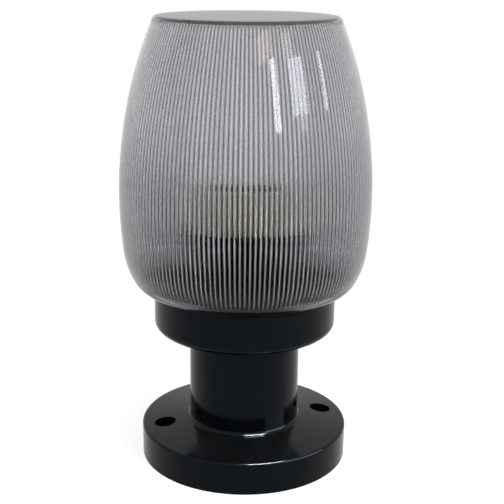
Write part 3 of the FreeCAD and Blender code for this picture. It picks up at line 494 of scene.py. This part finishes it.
@dataclass(frozen=True)
class Rubber:
    """Dull moulded rubber with a chalky bloom."""

    name: str
    colour: Colour = (0.012, 0.012, 0.013)
    bloom: Colour = (0.03, 0.03, 0.031)
    sheen_level: float = 0.25
    roughness: Range = (0.6, 0.8)
    cloud: Grain = Grain(0.005, 5.0, 0.65)
    smears: Grain = Grain(0.002)
    pores: Grain = Grain(0.0005, 2.0, height=0.00002)

    def make(self) -> Material:
        """Builds the rubber.

        Returns:
            Its material.
        """
        look = Shading(self.name)
        look.fixed(Specular_IOR_Level=self.sheen_level)
        stops = [(0.4, self.colour), (0.7, self.bloom)]
        look.drive("Base Color", look.ramp(look.noise(self.cloud), stops))
        look.drive("Roughness", look.spread(look.noise(self.smears), self.roughness))
        look.bump(self.pores)
        return look.material


@dataclass(frozen=True)
class MouldedPlastic:
    """Moulded plastic with a soft sparked surface, and a second colour as a stripe where it has one."""

    name: str
    colour: Colour
    stripe: Optional[Colour] = None
    stripe_edge: float = 0.85
    shade: float = 0.86
    roughness: Range = (0.33, 0.46)
    cloud: Grain = Grain(0.008, 4.0, 0.6)
    smears: Grain = Grain(0.001)
    sparks: Grain = Grain(0.0004, 2.0, height=0.000012)

    def make(self) -> Material:
        """Builds the plastic.

        Returns:
            Its material.
        """
        look = Shading(self.name)
        look.fixed(IOR=GLOSS_INDEX)
        darker: Colour = tuple(self.shade * part for part in self.colour)
        body = look.ramp(look.noise(self.cloud), [(0.35, darker), (0.65, self.colour)])
        if self.stripe is not None:
            across, _, up = look.normal()
            side = look.math("ABSOLUTE", look.math("ADD", across, up), 0.0)
            mixed = look.add("ShaderNodeMix", data_type="RGBA")
            mixed.inputs["B"].default_value = (*self.stripe, 1.0)
            band = look.math("GREATER_THAN", side, self.stripe_edge)
            look.join(band, mixed.inputs["Factor"])
            look.join(body, mixed.inputs["A"])
            body = mixed.outputs["Result"]
        look.drive("Base Color", body)
        look.drive("Roughness", look.spread(look.noise(self.smears), self.roughness))
        look.bump(self.sparks)
        return look.material


Finish = PowderCoat | ClearAcrylic | GlazedPorcelain | BareMetal | Rubber | MouldedPlastic


@functools.cache
def made(finish: Finish) -> Material:
    """A finish's material, built once however many pieces wear it."""
    return finish.make()


def dress(finish: Finish, *nodes: str) -> None:
    """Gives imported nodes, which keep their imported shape, one finish.

    Args:
        finish: the finish.
        nodes: the nodes' names.
    """
    for name in nodes:
        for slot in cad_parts[name].material_slots:
            slot.material = made(finish)
        log.info("dressed %s in %s", name, finish.name)


ZINC = BareMetal("bright_zinc", (0.66, 0.66, 0.68), (0.46, 0.47, 0.5))
BRASS = BareMetal("bare_brass", (0.78, 0.58, 0.27), (0.5, 0.34, 0.14), 0.22)


@dataclass(frozen=True)
class Housing:
    """The two painted castings, with what seals and joins them."""

    base_paint: PowderCoat = PowderCoat("base_paint_look")
    collar_paint: PowderCoat = PowderCoat("collar_paint_look")
    seal: Rubber = Rubber("seal_rubber_look")
    grommet: Rubber = Rubber("grommet_rubber_look")
    screws: BareMetal = ZINC

    def make(self) -> None:
        """Dresses the castings, the gaskets, the grommets and the collar's screws."""
        dress(self.base_paint, "base_casting")
        dress(self.collar_paint, "collar")
        dress(self.seal, "globe_gasket", "post_gasket")
        dress(self.grommet, "cable_grommet", "wire_grommet")
        dress(self.screws, "collar_screws", "collar_screw_washers")


@dataclass(frozen=True)
class Lampholder:
    """The holder on its stand, with its shell, contact and terminals."""

    stand_paint: PowderCoat = PowderCoat("stand_paint_look", roughness=(0.39, 0.47))
    body: GlazedPorcelain = GlazedPorcelain("holder_porcelain_look")
    shell: BareMetal = BareMetal("nickel_shell", (0.74, 0.71, 0.64), (0.52, 0.48, 0.4), 0.2)
    spring: BareMetal = BareMetal("spring_wire", (0.6, 0.6, 0.62), (0.4, 0.4, 0.42), 0.2)
    contacts: BareMetal = BRASS
    screws: BareMetal = ZINC

    def make(self) -> None:
        """Dresses the stand, the holder and everything that is fixed to them."""
        dress(self.stand_paint, "lampholder_stand")
        dress(self.body, "lampholder_body")
        dress(self.shell, "screw_shell")
        dress(self.spring, "contact_spring")
        dress(self.contacts, "centre_contact", "live_terminal", "neutral_terminal")
        dress(self.screws, "stand_screws", "holder_screws", "holder_nuts", "holder_terminal_screws")


@dataclass(frozen=True)
class Wiring:
    """The terminal block in the post, the earth point and the three wires."""

    block: MouldedPlastic = MouldedPlastic("terminal_block_plastic", (0.74, 0.74, 0.69))
    inserts: BareMetal = BRASS
    screws: BareMetal = ZINC
    lug: BareMetal = BareMetal("tinned_copper_look", (0.68, 0.66, 0.62), (0.5, 0.47, 0.43), 0.3)
    live: MouldedPlastic = MouldedPlastic("brown_insulation", (0.13, 0.045, 0.018))
    neutral: MouldedPlastic = MouldedPlastic("blue_insulation", (0.02, 0.09, 0.42))
    earth: MouldedPlastic = MouldedPlastic("green_insulation", (0.06, 0.27, 0.04), (0.75, 0.6, 0.05))

    def make(self) -> None:
        """Dresses the block, the earth point and the wires."""
        dress(self.block, "terminal_block")
        dress(self.inserts, "terminal_inserts")
        dress(self.screws, "terminal_clamp_screws", "terminal_block_screws", "earth_screw", "earth_washer")
        dress(self.lug, "earth_lug")
        dress(self.live, "live_wire")
        dress(self.neutral, "neutral_wire")
        dress(self.earth, "earth_wire")


def placed(name: str, data: bpy.types.ID) -> bpy.types.Object:
    """Puts a mesh, a lamp or a camera in the scene.

    Args:
        name: the name of its object.
        data: the mesh, the lamp or the camera.

    Returns:
        The object.
    """
    item = bpy.data.objects.new(name, data)
    bpy.context.scene.collection.objects.link(item)
    return item


def arc(centre: Point, radius: float, start: float, end: float, steps: int) -> list[Point]:
    """Points along an arc of an upright section.

    Args:
        centre: the arc's centre, as distance from the axis and height.
        radius: its radius.
        start: first angle in degrees, 0 pointing outwards and 90 up.
        end: last angle.
        steps: number of steps between them.

    Returns:
        The points, both ends among them.
    """
    angles = (math.radians(start + (end - start) * step / steps) for step in range(steps + 1))
    return [(centre[0] + radius * math.cos(angle), centre[1] + radius * math.sin(angle)) for angle in angles]


@dataclass(frozen=True)
class ReedPattern:
    """The moulded reeds inside the globe: a gently crowned face with steep round flanks, and round tips."""

    count: int = 166
    face_share: float = 0.72
    face_curve: float = 0.0028
    flank_curve: float = 0.0011
    face_steps: int = 8
    crest_steps: int = 4
    flank_steps: int = 4
    low: float = 0.1545
    high: float = 0.3550
    tip: float = 0.0016
    tip_shares: tuple[float, ...] = (0.0, 0.15, 0.4, 0.7, 1.0)

    def columns(self, reach: float) -> list[tuple[float, float]]:
        """Where each column of the inner wall stands.

        Args:
            reach: radius at which the reeds have their full width.

        Returns:
            For each column its angle in degrees and how far it stands in from the grooves.
        """
        pitch = 360.0 / self.count
        half = reach * math.radians(pitch) / 2
        places = self.places()
        stands = [self.stand(abs(place) * half, half) for place in places]
        return [
            ((reed + place / 2) * pitch, stand)
            for reed in range(self.count)
            for place, stand in zip(places, stands)
        ]

    def places(self) -> list[float]:
        """Spaces out the columns of one reed.

        Returns:
            Their places, from -1 at the reed's groove to just short of 1 at the next.
        """
        run = (1.0 - self.face_share) / self.flank_steps
        flank = [step * run for step in range(self.flank_steps)]
        face = [2 * self.face_share * step / self.face_steps for step in range(self.face_steps)]
        return (
            [place - 1.0 for place in flank]
            + [place - self.face_share for place in face]
            + [place + self.face_share for place in flank]
        )

    def stand(self, across: float, half: float) -> float:
        """How far a reed stands in from the grooves.

        Args:
            across: distance from the reed's middle.
            half: half of the reed's width.

        Returns:
            The height of its face or flank there.
        """
        edge = self.face_share * half
        lean = math.asin(edge / self.face_curve)
        middle = edge - self.flank_curve * math.sin(lean)
        groove = math.sqrt(self.flank_curve**2 - (half - middle) ** 2)
        if across > edge:
            return math.sqrt(self.flank_curve**2 - (across - middle) ** 2) - groove
        top = self.flank_curve * math.cos(lean) - groove
        return top + math.sqrt(self.face_curve**2 - across**2) - self.face_curve * math.cos(lean)

    def part(self, column: int) -> ReedPart:
        """Which part of its reed a face belongs to.

        Args:
            column: the column that the face comes after.

        Returns:
            The part.
        """
        step = column % (self.face_steps + 2 * self.flank_steps) - self.flank_steps
        if step < 0 or step >= self.face_steps:
            return ReedPart.FLANK
        bare = (self.face_steps - self.crest_steps) // 2
        return ReedPart.CREST if bare <= step < self.face_steps - bare else ReedPart.FACE

    def rise(self, height: float) -> float:
        """How much of a reed there is at a height: 1 along it and 0 past its round tips."""
        past = max(self.low + self.tip - height, height - (self.high - self.tip), 0.0) / self.tip
        return math.sqrt(max(0.0, 1.0 - past * past))

    def tip_levels(self) -> list[float]:
        """Heights of the rows that the round tips need, at the top and at the bottom."""
        top = [self.high - self.tip * share for share in self.tip_shares]
        return top + [self.low + self.tip * share for share in self.tip_shares]


@dataclass(frozen=True)
class FlutedGlobe:
    """Barrel-shaped clear globe: smooth outside, ribbed inside, open neck with three locking lugs."""

    radius: float = 0.1
    wall: float = 0.003
    belly_arc: float = 0.370
    belly_angle: float = 6.5
    haunch_arc: float = 0.0607
    haunch_angle: float = 29.0
    shoulder_arc: float = 0.0217
    shoulder_width: float = 0.0075
    crown_arc: float = 0.355
    crown_height: float = 0.1403
    crown_round: float = 0.004
    corner_round: float = 0.0035
    seat: float = 0.1424
    neck_wall: float = 0.0035
    neck_bottom: float = 0.126
    lug_top: float = 0.1339
    lug_bottom: float = 0.1296
    lug_reach: float = 0.0041
    lug_half_angle: float = 14.0
    lug_count: int = 3
    outer_columns: int = 320
    skin_steps: int = 36
    lining_steps: int = 60
    top_reaches: tuple[float, ...] = (0.01, 0.03, 0.05)
    roof_reaches: tuple[float, ...] = (0.01, 0.03, 0.045)
    roof_edges: tuple[float, ...] = (0.056, 0.064)
    crease: float = 38.0
    reeds: ReedPattern = ReedPattern()

    @property
    def shoulder(self) -> Point:
        """Centre of the arc that turns under to the shoulder."""
        belly, haunch = math.radians(self.belly_angle), math.radians(self.haunch_angle)
        along = self.radius - self.belly_arc + (self.belly_arc - self.haunch_arc) * math.cos(belly)
        along += (self.haunch_arc - self.shoulder_arc) * math.cos(haunch)
        return along, self.seat + self.shoulder_arc

    @property
    def haunch(self) -> Point:
        """Centre of the arc above the shoulder's."""
        reach = self.haunch_arc - self.shoulder_arc
        angle = math.radians(self.haunch_angle)
        return self.shoulder[0] - reach * math.cos(angle), self.shoulder[1] + reach * math.sin(angle)

    @property
    def belly(self) -> float:
        """Height of the widest ring."""
        return self.haunch[1] + (self.belly_arc - self.haunch_arc) * math.sin(math.radians(self.belly_angle))

    @property
    def top(self) -> float:
        """Height of the flat top."""
        return self.belly + self.crown_height

    @property
    def neck_radius(self) -> float:
        """Outside of the neck."""
        return self.shoulder[0] - self.shoulder_width

    def make(self) -> None:
        """Builds the globe as one closed mesh and puts it in the place of its plain solid."""
        build = bmesh.new()
        outer_end, lugs = self.add_skin(build)
        inner_top, inner_end = self.add_lining(build)
        self.bridge(build, outer_end, inner_end)
        self.add_roof(build, inner_top)
        self.raise_lugs(build, lugs)
        globe = self.finish(build)
        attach(globe, "globe")
        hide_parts("globe")
        log.info("made %s with %d faces", globe.name, len(globe.data.polygons))

    def looks(self) -> list[Material]:
        """Builds the acrylics.

        The crests of the reeds are tinted dark as painted shade, darker still towards the bottom, and the
        flanks let most light by.
        Painted shade also darkens the lower flanks, the skin above the shoulder and the flat top.

        Returns:
            The materials of the outer skin, the inner wall, the reeds' flanks and their crests.
        """
        clear, slant = (0.81, 0.803, 0.833), (0.38, 0.378, 0.394)
        # Painted shade: the skin is darkened at its bottom, above the shoulder.
        painted_dark_shoulder = Fade(past=0.148, all_at=0.157, left=0.12)
        # Painted shade: the flat top is darkened.
        painted_dark_top = Fade(past=self.top, all_at=self.top - 0.0008, left=0.1)
        skin = ClearAcrylic(
            "skin_acrylic",
            clear,
            slant,
            shine=0.0,
            polish=0.7,
            rim_index=1.03,
            wear=Wear((self.top - 0.005, self.top - 0.002)),
            painted_shade=(painted_dark_shoulder, painted_dark_top),
        )
        wall = ClearAcrylic("wall_acrylic", clear, slant)
        # Painted shade: the flanks darken and dim towards the bottom.
        flank = ClearAcrylic(
            "flank_acrylic",
            clear,
            slant,
            painted_shade=(Fade(past=0.240, all_at=0.260, left=0.9), Fade(past=0.160, all_at=0.215, left=0.4)),
            painted_shade_haze=(Fade(past=0.236, all_at=0.256, left=0.8), Fade(past=0.158, all_at=0.216, left=0.5)),
        )
        # Painted shade: dark crests, darker still towards the bottom.
        painted_dark_crest = ClearAcrylic(
            "crest_painted_shade_acrylic",
            (0.13, 0.13, 0.136),
            (0.07, 0.07, 0.073),
            painted_shade=(Fade(past=0.225, all_at=0.260, left=0.3),),
        )
        return [made(look) for look in (skin, wall, flank, painted_dark_crest)]

    def side(self, inset: float, rounding: float, fine: int) -> list[Point]:
        """Section of the side from the flat top down to the shoulder.

        Args:
            inset: how far inside the outer skin it runs.
            rounding: rounding of the top corner.
            fine: steps of the long crown arc; the others follow it.

        Returns:
            Points from the edge of the flat top to the flat of the shoulder.
        """
        top = self.top - inset
        crown = (self.radius - self.crown_arc, self.belly)
        reach = self.crown_arc - inset - rounding
        drop = top - rounding - self.belly
        corner = (crown[0] + math.sqrt(reach * reach - drop * drop), top - rounding)
        meet = math.degrees(math.asin(drop / reach))
        belly_centre = (self.radius - self.belly_arc, self.belly)
        belly, haunch = self.belly_angle, self.haunch_angle
        return (
            arc(corner, rounding, 90, meet, 8)
            + arc(crown, self.crown_arc - inset, meet, 0, fine)[1:]
            + arc(belly_centre, self.belly_arc - inset, 0, -belly, fine // 3)[1:]
            + arc(self.haunch, self.haunch_arc - inset, -belly, -haunch, fine // 4)[1:]
            + arc(self.shoulder, self.shoulder_arc - inset, -haunch, -90, fine // 2)[1:]
        )

    def with_reed_ends(self, section: list[Point]) -> list[Point]:
        """Adds the rows that the round tips of the reeds need.

        Args:
            section: the section of the inner wall, downwards.

        Returns:
            The section with the added rows.
        """
        rows = list(section)
        for level in self.reeds.tip_levels():
            for index in range(len(rows) - 1):
                above, below = rows[index], rows[index + 1]
                if above[1] > level > below[1] and min(above[1] - level, level - below[1]) > 1e-5:
                    share = (above[1] - level) / (above[1] - below[1])
                    rows.insert(index + 1, (above[0] + (below[0] - above[0]) * share, level))
                    break
        return rows

    def add_skin(self, build: Mesh) -> tuple[list[Corner], list[Face]]:
        """Adds the flat top, the smooth outer wall and the outside of the neck.

        Args:
            build: the mesh being built.

        Returns:
            The lowest ring, and the faces that the lugs grow from.
        """
        middle = build.verts.new((0.0, 0.0, self.top))
        side = self.side(0.0, self.crown_round, self.skin_steps)
        section = [(reach, self.top) for reach in self.top_reaches] + side
        rings = [self.plain_ring(build, *point) for point in section]
        levels = (self.seat, self.lug_top, self.lug_bottom, self.neck_bottom)
        neck_rings = [self.plain_ring(build, self.neck_radius, level) for level in levels]
        rings += neck_rings
        self.close(build, middle, rings[0])
        for above, below in zip(rings, rings[1:]):
            self.bridge(build, above, below)
        return rings[-1], self.lug_faces(neck_rings[1], neck_rings[2])

    def add_lining(self, build: Mesh) -> tuple[list[Corner], list[Corner]]:
        """Adds the inner wall with its reeds, and the bore of the neck.

        Args:
            build: the mesh being built.

        Returns:
            The highest and the lowest ring.
        """
        columns = self.reeds.columns(self.radius - self.wall)
        bore = self.neck_radius - self.neck_wall
        rows = [(reach, self.top - self.wall) for reach in self.roof_edges]
        rows += self.with_reed_ends(self.side(self.wall, self.corner_round, self.lining_steps))
        rows += [(bore, self.seat + self.wall), (bore, self.neck_bottom)]
        rings = [self.reeded_ring(build, rows, index, columns) for index in range(len(rows))]
        for index, (above, below) in enumerate(zip(rings, rings[1:])):
            middle = (rows[index][1] + rows[index + 1][1]) / 2
            reeded = self.reeds.low < middle < self.reeds.high and self.is_side(rows[index + 1])
            for column, face in enumerate(self.bridge(build, below, above)):
                face.material_index = (self.reeds.part(column) if reeded else ReedPart.FACE).value
        return rings[0], rings[-1]

    def add_roof(self, build: Mesh, edge: Sequence[Corner]) -> None:
        """Adds the inside of the flat top.

        Args:
            build: the mesh being built.
            edge: the ring of the inner wall that it ends at.
        """
        level = self.top - self.wall
        middle = build.verts.new((0.0, 0.0, level))
        rings = [self.plain_ring(build, reach, level) for reach in self.roof_reaches]
        self.close(build, middle, rings[0], flipped=True)
        for near, far in zip(rings, rings[1:] + [edge]):
            self.bridge(build, near, far, flipped=True)

    def angle_of(self, column: int) -> float:
        """Angle of an outer column; the ones at a lug's ends stand exactly there.

        Args:
            column: the column's number.

        Returns:
            Its angle in degrees.
        """
        pitch = 360.0 / self.outer_columns
        angle = column * pitch
        for lug in range(self.lug_count):
            for end in (-self.lug_half_angle, self.lug_half_angle):
                place = (360.0 * lug / self.lug_count + end) % 360.0
                if abs(angle - place) < pitch / 2:
                    return place
        return angle

    def plain_ring(self, build: Mesh, reach: float, height: float) -> list[Corner]:
        """Adds one level ring of the smooth outer wall.

        Args:
            build: the mesh being built.
            reach: the ring's radius.
            height: its height.

        Returns:
            The ring's corners.
        """
        ring = []
        for column in range(self.outer_columns):
            turn = math.radians(self.angle_of(column))
            ring.append(build.verts.new((reach * math.cos(turn), reach * math.sin(turn), height)))
        return ring

    def reeded_ring(
        self, build: Mesh, rows: Sequence[Point], index: int, columns: Sequence[tuple[float, float]]
    ) -> list[Corner]:
        """Adds one ring of the inner wall.

        Args:
            build: the mesh being built.
            rows: the inner section, downwards.
            index: which of its points the ring is at.
            columns: the columns of the reeds.

        Returns:
            The ring's corners.
        """
        reach, height = rows[index]
        before, after = rows[max(index - 1, 0)], rows[min(index + 1, len(rows) - 1)]
        along = Vector((after[0] - before[0], after[1] - before[1])).normalized()
        inwards = Vector((along.y, -along.x))
        if inwards.x > 0:
            inwards = -inwards
        share = self.reeds.rise(height) if self.is_side(rows[index]) else 0.0
        share *= reach / (self.radius - self.wall)
        ring = []
        for angle, stand in columns:
            turn = math.radians(angle)
            out, up = reach + inwards.x * stand * share, height + inwards.y * stand * share
            ring.append(build.verts.new((out * math.cos(turn), out * math.sin(turn), up)))
        return ring

    def is_side(self, point: Point) -> bool:
        """True on the side wall between the shoulder's flat and the top's, where reeds may stand."""
        return point[0] > self.shoulder[0] - 0.001 or point[1] > self.belly

    def bridge(
        self, build: Mesh, above: Sequence[Corner], below: Sequence[Corner], flipped: bool = False
    ) -> list[Face]:
        """Joins two rings by faces, in triangles where the rings' corners differ in number.

        Args:
            build: the mesh being built.
            above: one ring.
            below: the other ring.
            flipped: True to turn the faces over.

        Returns:
            The faces, column by column.
        """
        if len(above) == len(below):
            faces = [
                (above[column], above[column + 1 - len(above)], below[column + 1 - len(below)], below[column])
                for column in range(len(above))
            ]
        else:
            faces = self.stitches(above, below)
        return [build.faces.new(face[::-1] if flipped else face) for face in faces]

    @staticmethod
    def stitches(above: Sequence[Corner], below: Sequence[Corner]) -> list[tuple[Corner, ...]]:
        """Triangles between two rings whose corners stand at different angles.

        Args:
            above: one ring.
            below: the other ring.

        Returns:
            The triangles, all the way round.
        """

        def turned(corner: Corner) -> float:
            """A corner's angle round the axis, from 0 to a full turn."""
            return math.atan2(corner.co.y, corner.co.x) % math.tau

        upper, lower = (sorted(ring, key=turned) for ring in (above, below))
        faces: list[tuple[Corner, ...]] = []
        high = low = 0
        while high < len(upper) or low < len(lower):
            near, far = upper[high % len(upper)], lower[low % len(lower)]
            next_high = turned(upper[high]) if high < len(upper) else math.tau
            next_low = turned(lower[low]) if low < len(lower) else math.tau
            if next_low > next_high or low == len(lower):
                faces.append((upper[high - 1], near, lower[low - 1]))
                high += 1
            else:
                faces.append((upper[high - 1], far, lower[low - 1]))
                low += 1
        return faces

    @staticmethod
    def close(build: Mesh, middle: Corner, ring: Sequence[Corner], flipped: bool = False) -> None:
        """Fills the disc inside a ring.

        Args:
            build: the mesh being built.
            middle: the disc's middle.
            ring: the ring.
            flipped: True to turn the faces over.
        """
        for column, corner in enumerate(ring):
            beside = ring[(column + 1) % len(ring)]
            build.faces.new((middle, beside, corner) if flipped else (middle, corner, beside))

    def lug_faces(self, above: Sequence[Corner], below: Sequence[Corner]) -> list[Face]:
        """Finds the neck's faces that the lugs grow from.

        Args:
            above: the ring at the lugs' top.
            below: the ring at their bottom.

        Returns:
            The faces.
        """
        rings = set(above) | set(below)
        step = 360.0 / self.lug_count
        found = []
        for face in dict.fromkeys(face for corner in above for face in corner.link_faces):
            middle = face.calc_center_median()
            turn = math.degrees(math.atan2(middle.y, middle.x))
            at_lug = abs((turn + step / 2) % step - step / 2) < self.lug_half_angle
            if at_lug and all(corner in rings for corner in face.verts):
                found.append(face)
        return found

    def raise_lugs(self, build: Mesh, faces: Sequence[Face]) -> None:
        """Grows the lugs outwards.

        Args:
            build: the mesh being built.
            faces: the neck's faces that they grow from.
        """
        grown = bmesh.ops.extrude_face_region(build, geom=list(faces))
        bmesh.ops.delete(build, geom=list(faces), context="FACES_KEEP_BOUNDARY")
        for corner in (item for item in grown["geom"] if isinstance(item, Corner)):
            flat = Vector((corner.co.x, corner.co.y, 0.0))
            corner.co += flat.normalized() * self.lug_reach

    def finish(self, build: Mesh) -> bpy.types.Object:
        """Turns the built mesh into the object, with smooth shading and its materials.

        Args:
            build: the mesh being built.

        Returns:
            The globe.
        """
        bmesh.ops.recalc_face_normals(build, faces=build.faces)
        for face in build.faces:
            face.smooth = True
        mesh = bpy.data.meshes.new("fluted_globe")
        build.to_mesh(mesh)
        build.free()
        for look in self.looks():
            mesh.materials.append(look)
        mesh.set_sharp_from_angle(angle=math.radians(self.crease))
        return placed("fluted_globe", mesh)


@dataclass(frozen=True)
class Viewpoint:
    """The photograph's camera, as worked out from the flange, the collar and the globe's outline."""

    turn: float = -13.0
    distance: float = 0.8059
    height: float = 0.4081
    pitch: float = 16.363
    roll: float = 0.5
    lens: float = 74.26
    sensor: float = 36.0
    shift: float = 0.01365
    near: float = 0.02
    far: float = 60.0

    def make(self) -> None:
        """Builds the camera and makes it the scene's."""
        data = bpy.data.cameras.new("camera")
        data.lens = self.lens
        data.sensor_width = self.sensor
        data.shift_x = self.shift
        data.clip_start, data.clip_end = self.near, self.far
        camera = placed("camera", data)
        around = Matrix.Rotation(math.radians(self.turn), 4, "Z")
        place = around @ Matrix.Translation((0.0, -self.distance, self.height))
        tilt = Matrix.Rotation(math.radians(90.0 - self.pitch), 4, "X")
        lean = Matrix.Rotation(math.radians(self.roll), 4, "Z")
        camera.matrix_world = place @ tilt @ lean
        bpy.context.scene.camera = camera
        log.info("placed the camera")


@dataclass(frozen=True)
class SoftLamp:
    """One rectangular studio lamp that looks at a point and has one use."""

    name: str
    place: Place
    size: tuple[float, float]
    power: float
    colour: Colour = WHITE
    target: Place = (0.0, 0.0, 0.18)
    use: LampUse = LampUse.LIGHT
    lit_nodes: tuple[str, ...] = ()

    def make(self) -> None:
        """Builds the lamp and aims it; where it names nodes, it lights those alone."""
        data = bpy.data.lights.new(self.name, "AREA")
        data.shape = "RECTANGLE"
        data.size, data.size_y = self.size
        data.energy = self.power
        data.color = self.colour
        lamp = placed(self.name, data)
        lamp.location = self.place
        look = Vector(self.target) - Vector(self.place)
        lamp.rotation_euler = look.to_track_quat("-Z", "Y").to_euler()
        lamp.visible_camera = False
        lamp.visible_diffuse = self.use is LampUse.LIGHT
        lamp.visible_glossy = self.use is LampUse.MIRRORED
        lamp.visible_transmission = False
        if self.lit_nodes:
            lit = bpy.data.collections.new(f"lit_by_{self.name}")
            for name in self.lit_nodes:
                lit.objects.link(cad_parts[name])
            lamp.light_linking.receiver_collection = lit
        log.info("placed %s", self.name)


@dataclass(frozen=True)
class Pane:
    """One bright pane of the window light: its place and size on the window, and its glow."""

    name: str
    across: float
    up: float
    width: float
    height: float
    glow: float
    colour: Colour = WHITE


@dataclass(frozen=True)
class WindowLight:
    """Tall soft panes in front and to the right, which the globe and the paint mirror, and their light."""

    centre: Place = (0.701, -1.314, 0.856)
    look: Place = (-0.438, 0.821, -0.366)
    light_size: tuple[float, float] = (1.2, 0.9)
    light_power: float = 9.0
    glow: float = 0.75
    panes: tuple[Pane, ...] = (
        Pane("left_pane", -0.34, 0.01, 0.15, 0.6, 22.0),
        Pane("right_pane", 0.3, 0.01, 0.44, 0.44, 14.0, (0.84, 0.9, 1.0)),
        Pane("far_pane", 1.3, 0.04, 0.12, 0.5, 16.0),
        Pane("left_blind", -0.52, 0.47, 0.44, 0.26, 5.0, (1.0, 0.88, 0.74)),
        Pane("right_blind", 0.15, 0.335, 0.28, 0.22, 5.0, (1.0, 0.9, 0.76)),
        Pane("low_blind", 0.355, -0.27, 0.24, 0.14, 5.0, (1.0, 0.88, 0.74)),
    )

    def make(self) -> None:
        """Builds one mirrored lamp for each pane, all looking the same way, and the window's light."""
        look = Vector(self.look).normalized()
        side = look.cross(Vector((0.0, 0.0, 1.0))).normalized()
        top = side.cross(look)
        for pane in self.panes:
            place = Vector(self.centre) + side * pane.across + top * pane.up
            power = self.glow * pane.glow * pane.width * pane.height * math.pi
            size = (pane.width, pane.height)
            ahead = tuple(place + look)
            SoftLamp(pane.name, tuple(place), size, power, pane.colour, ahead, LampUse.MIRRORED).make()
        SoftLamp("window_light", self.centre, self.light_size, self.light_power).make()


@dataclass(frozen=True)
class Studio:
    """A white sweep and soft lamps, at a level where a colour shows about as it is written."""

    floor_reach: float = 14.0
    floor_colour: Colour = (0.5, 0.5, 0.5)
    floor_own_light: float = 0.78
    floor_in_glass: float = 0.6
    ambient: float = 0.45
    lamps: tuple[SoftLamp, ...] = (
        SoftLamp("overhead_lamp", (0.25, -0.35, 1.7), (1.3, 1.3), 5.0),
        SoftLamp(
            "edge_glow", (0.27, -0.64, 1.45), (0.8, 0.25), 270.0, use=LampUse.MIRRORED, lit_nodes=PAINTED
        ),
        SoftLamp(
            "side_glow",
            (0.98, -0.69, 0.3),
            (1.0, 0.8),
            24.0,
            target=(0.0, 0.0, 0.1),
            use=LampUse.MIRRORED,
            lit_nodes=PAINTED,
        ),
    )
    window: WindowLight = WindowLight()

    def make(self) -> None:
        """Builds the floor, the world and the lamps."""
        self.make_floor()
        self.make_world()
        for lamp in self.lamps:
            lamp.make()
        self.window.make()

    @staticmethod
    def own_white(nodes: Nodes, seen: float, in_glass: float, on_dull: float) -> Socket:
        """How bright the surroundings' own white is for each kind of ray.

        Args:
            nodes: the material's or world's nodes.
            seen: its level for the camera.
            in_glass: its level in reflections and through the globe.
            on_dull: its level for the rays that light dull surfaces.

        Returns:
            The level.
        """
        rays = nodes.add("ShaderNodeLightPath").outputs
        levels = {
            Surroundings.GLOSSY: in_glass,
            Surroundings.TRANSMISSION: in_glass,
            Surroundings.CAMERA: seen,
        }
        glossy, through, camera = (
            nodes.between(rays[kind.value], (0.0, 1.0), (on_dull, level)) for kind, level in levels.items()
        )
        return nodes.math("MAXIMUM", nodes.math("MAXIMUM", glossy, through), camera)

    def make_floor(self) -> None:
        """Pale floor that takes the light's shadow."""
        reach = self.floor_reach
        mesh = bpy.data.meshes.new("studio_floor")
        corners = [(-reach, -reach, 0.0), (reach, -reach, 0.0), (reach, reach, 0.0), (-reach, reach, 0.0)]
        mesh.from_pydata(corners, [], [(0, 1, 2, 3)])
        floor = placed("studio_floor", mesh)
        material = bpy.data.materials.new("studio_floor")
        material.use_nodes = True
        nodes = Nodes(material.node_tree)
        matte = nodes.add("ShaderNodeBsdfDiffuse")
        nodes.fill(matte, Color=(*self.floor_colour, 1.0))
        glow = nodes.add("ShaderNodeEmission")
        level = self.own_white(nodes, self.floor_own_light, self.floor_in_glass, 0.0)
        nodes.join(level, glow.inputs["Strength"])
        both = nodes.add("ShaderNodeAddShader", matte.outputs[0], glow.outputs[0])
        nodes.add("ShaderNodeOutputMaterial", both.outputs[0])
        mesh.materials.append(material)
        log.info("laid the floor")

    def make_world(self) -> None:
        """White world to look at, with a moderate light for dull surfaces."""
        world = bpy.data.worlds.new("studio_world")
        bpy.context.scene.world = world
        world.use_nodes = True
        nodes = Nodes(world.node_tree)
        sky = nodes.add("ShaderNodeBackground")
        nodes.fill(sky, Color=(*WHITE, 1.0))
        nodes.join(self.own_white(nodes, 1.0, 1.0, self.ambient), sky.inputs["Strength"])
        nodes.add("ShaderNodeOutputWorld", sky.outputs[0])


def main() -> None:
    """Builds the camera, the studio and the light."""
    logging.basicConfig(level=logging.INFO, format="%(message)s")
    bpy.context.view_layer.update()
    bpy.context.scene.view_settings.view_transform = "Standard"
    Viewpoint().make()
    Studio().make()
    for part in (Housing(), Lampholder(), Wiring(), FlutedGlobe()):
        part.make()


if __name__ == "__main__":
    main()
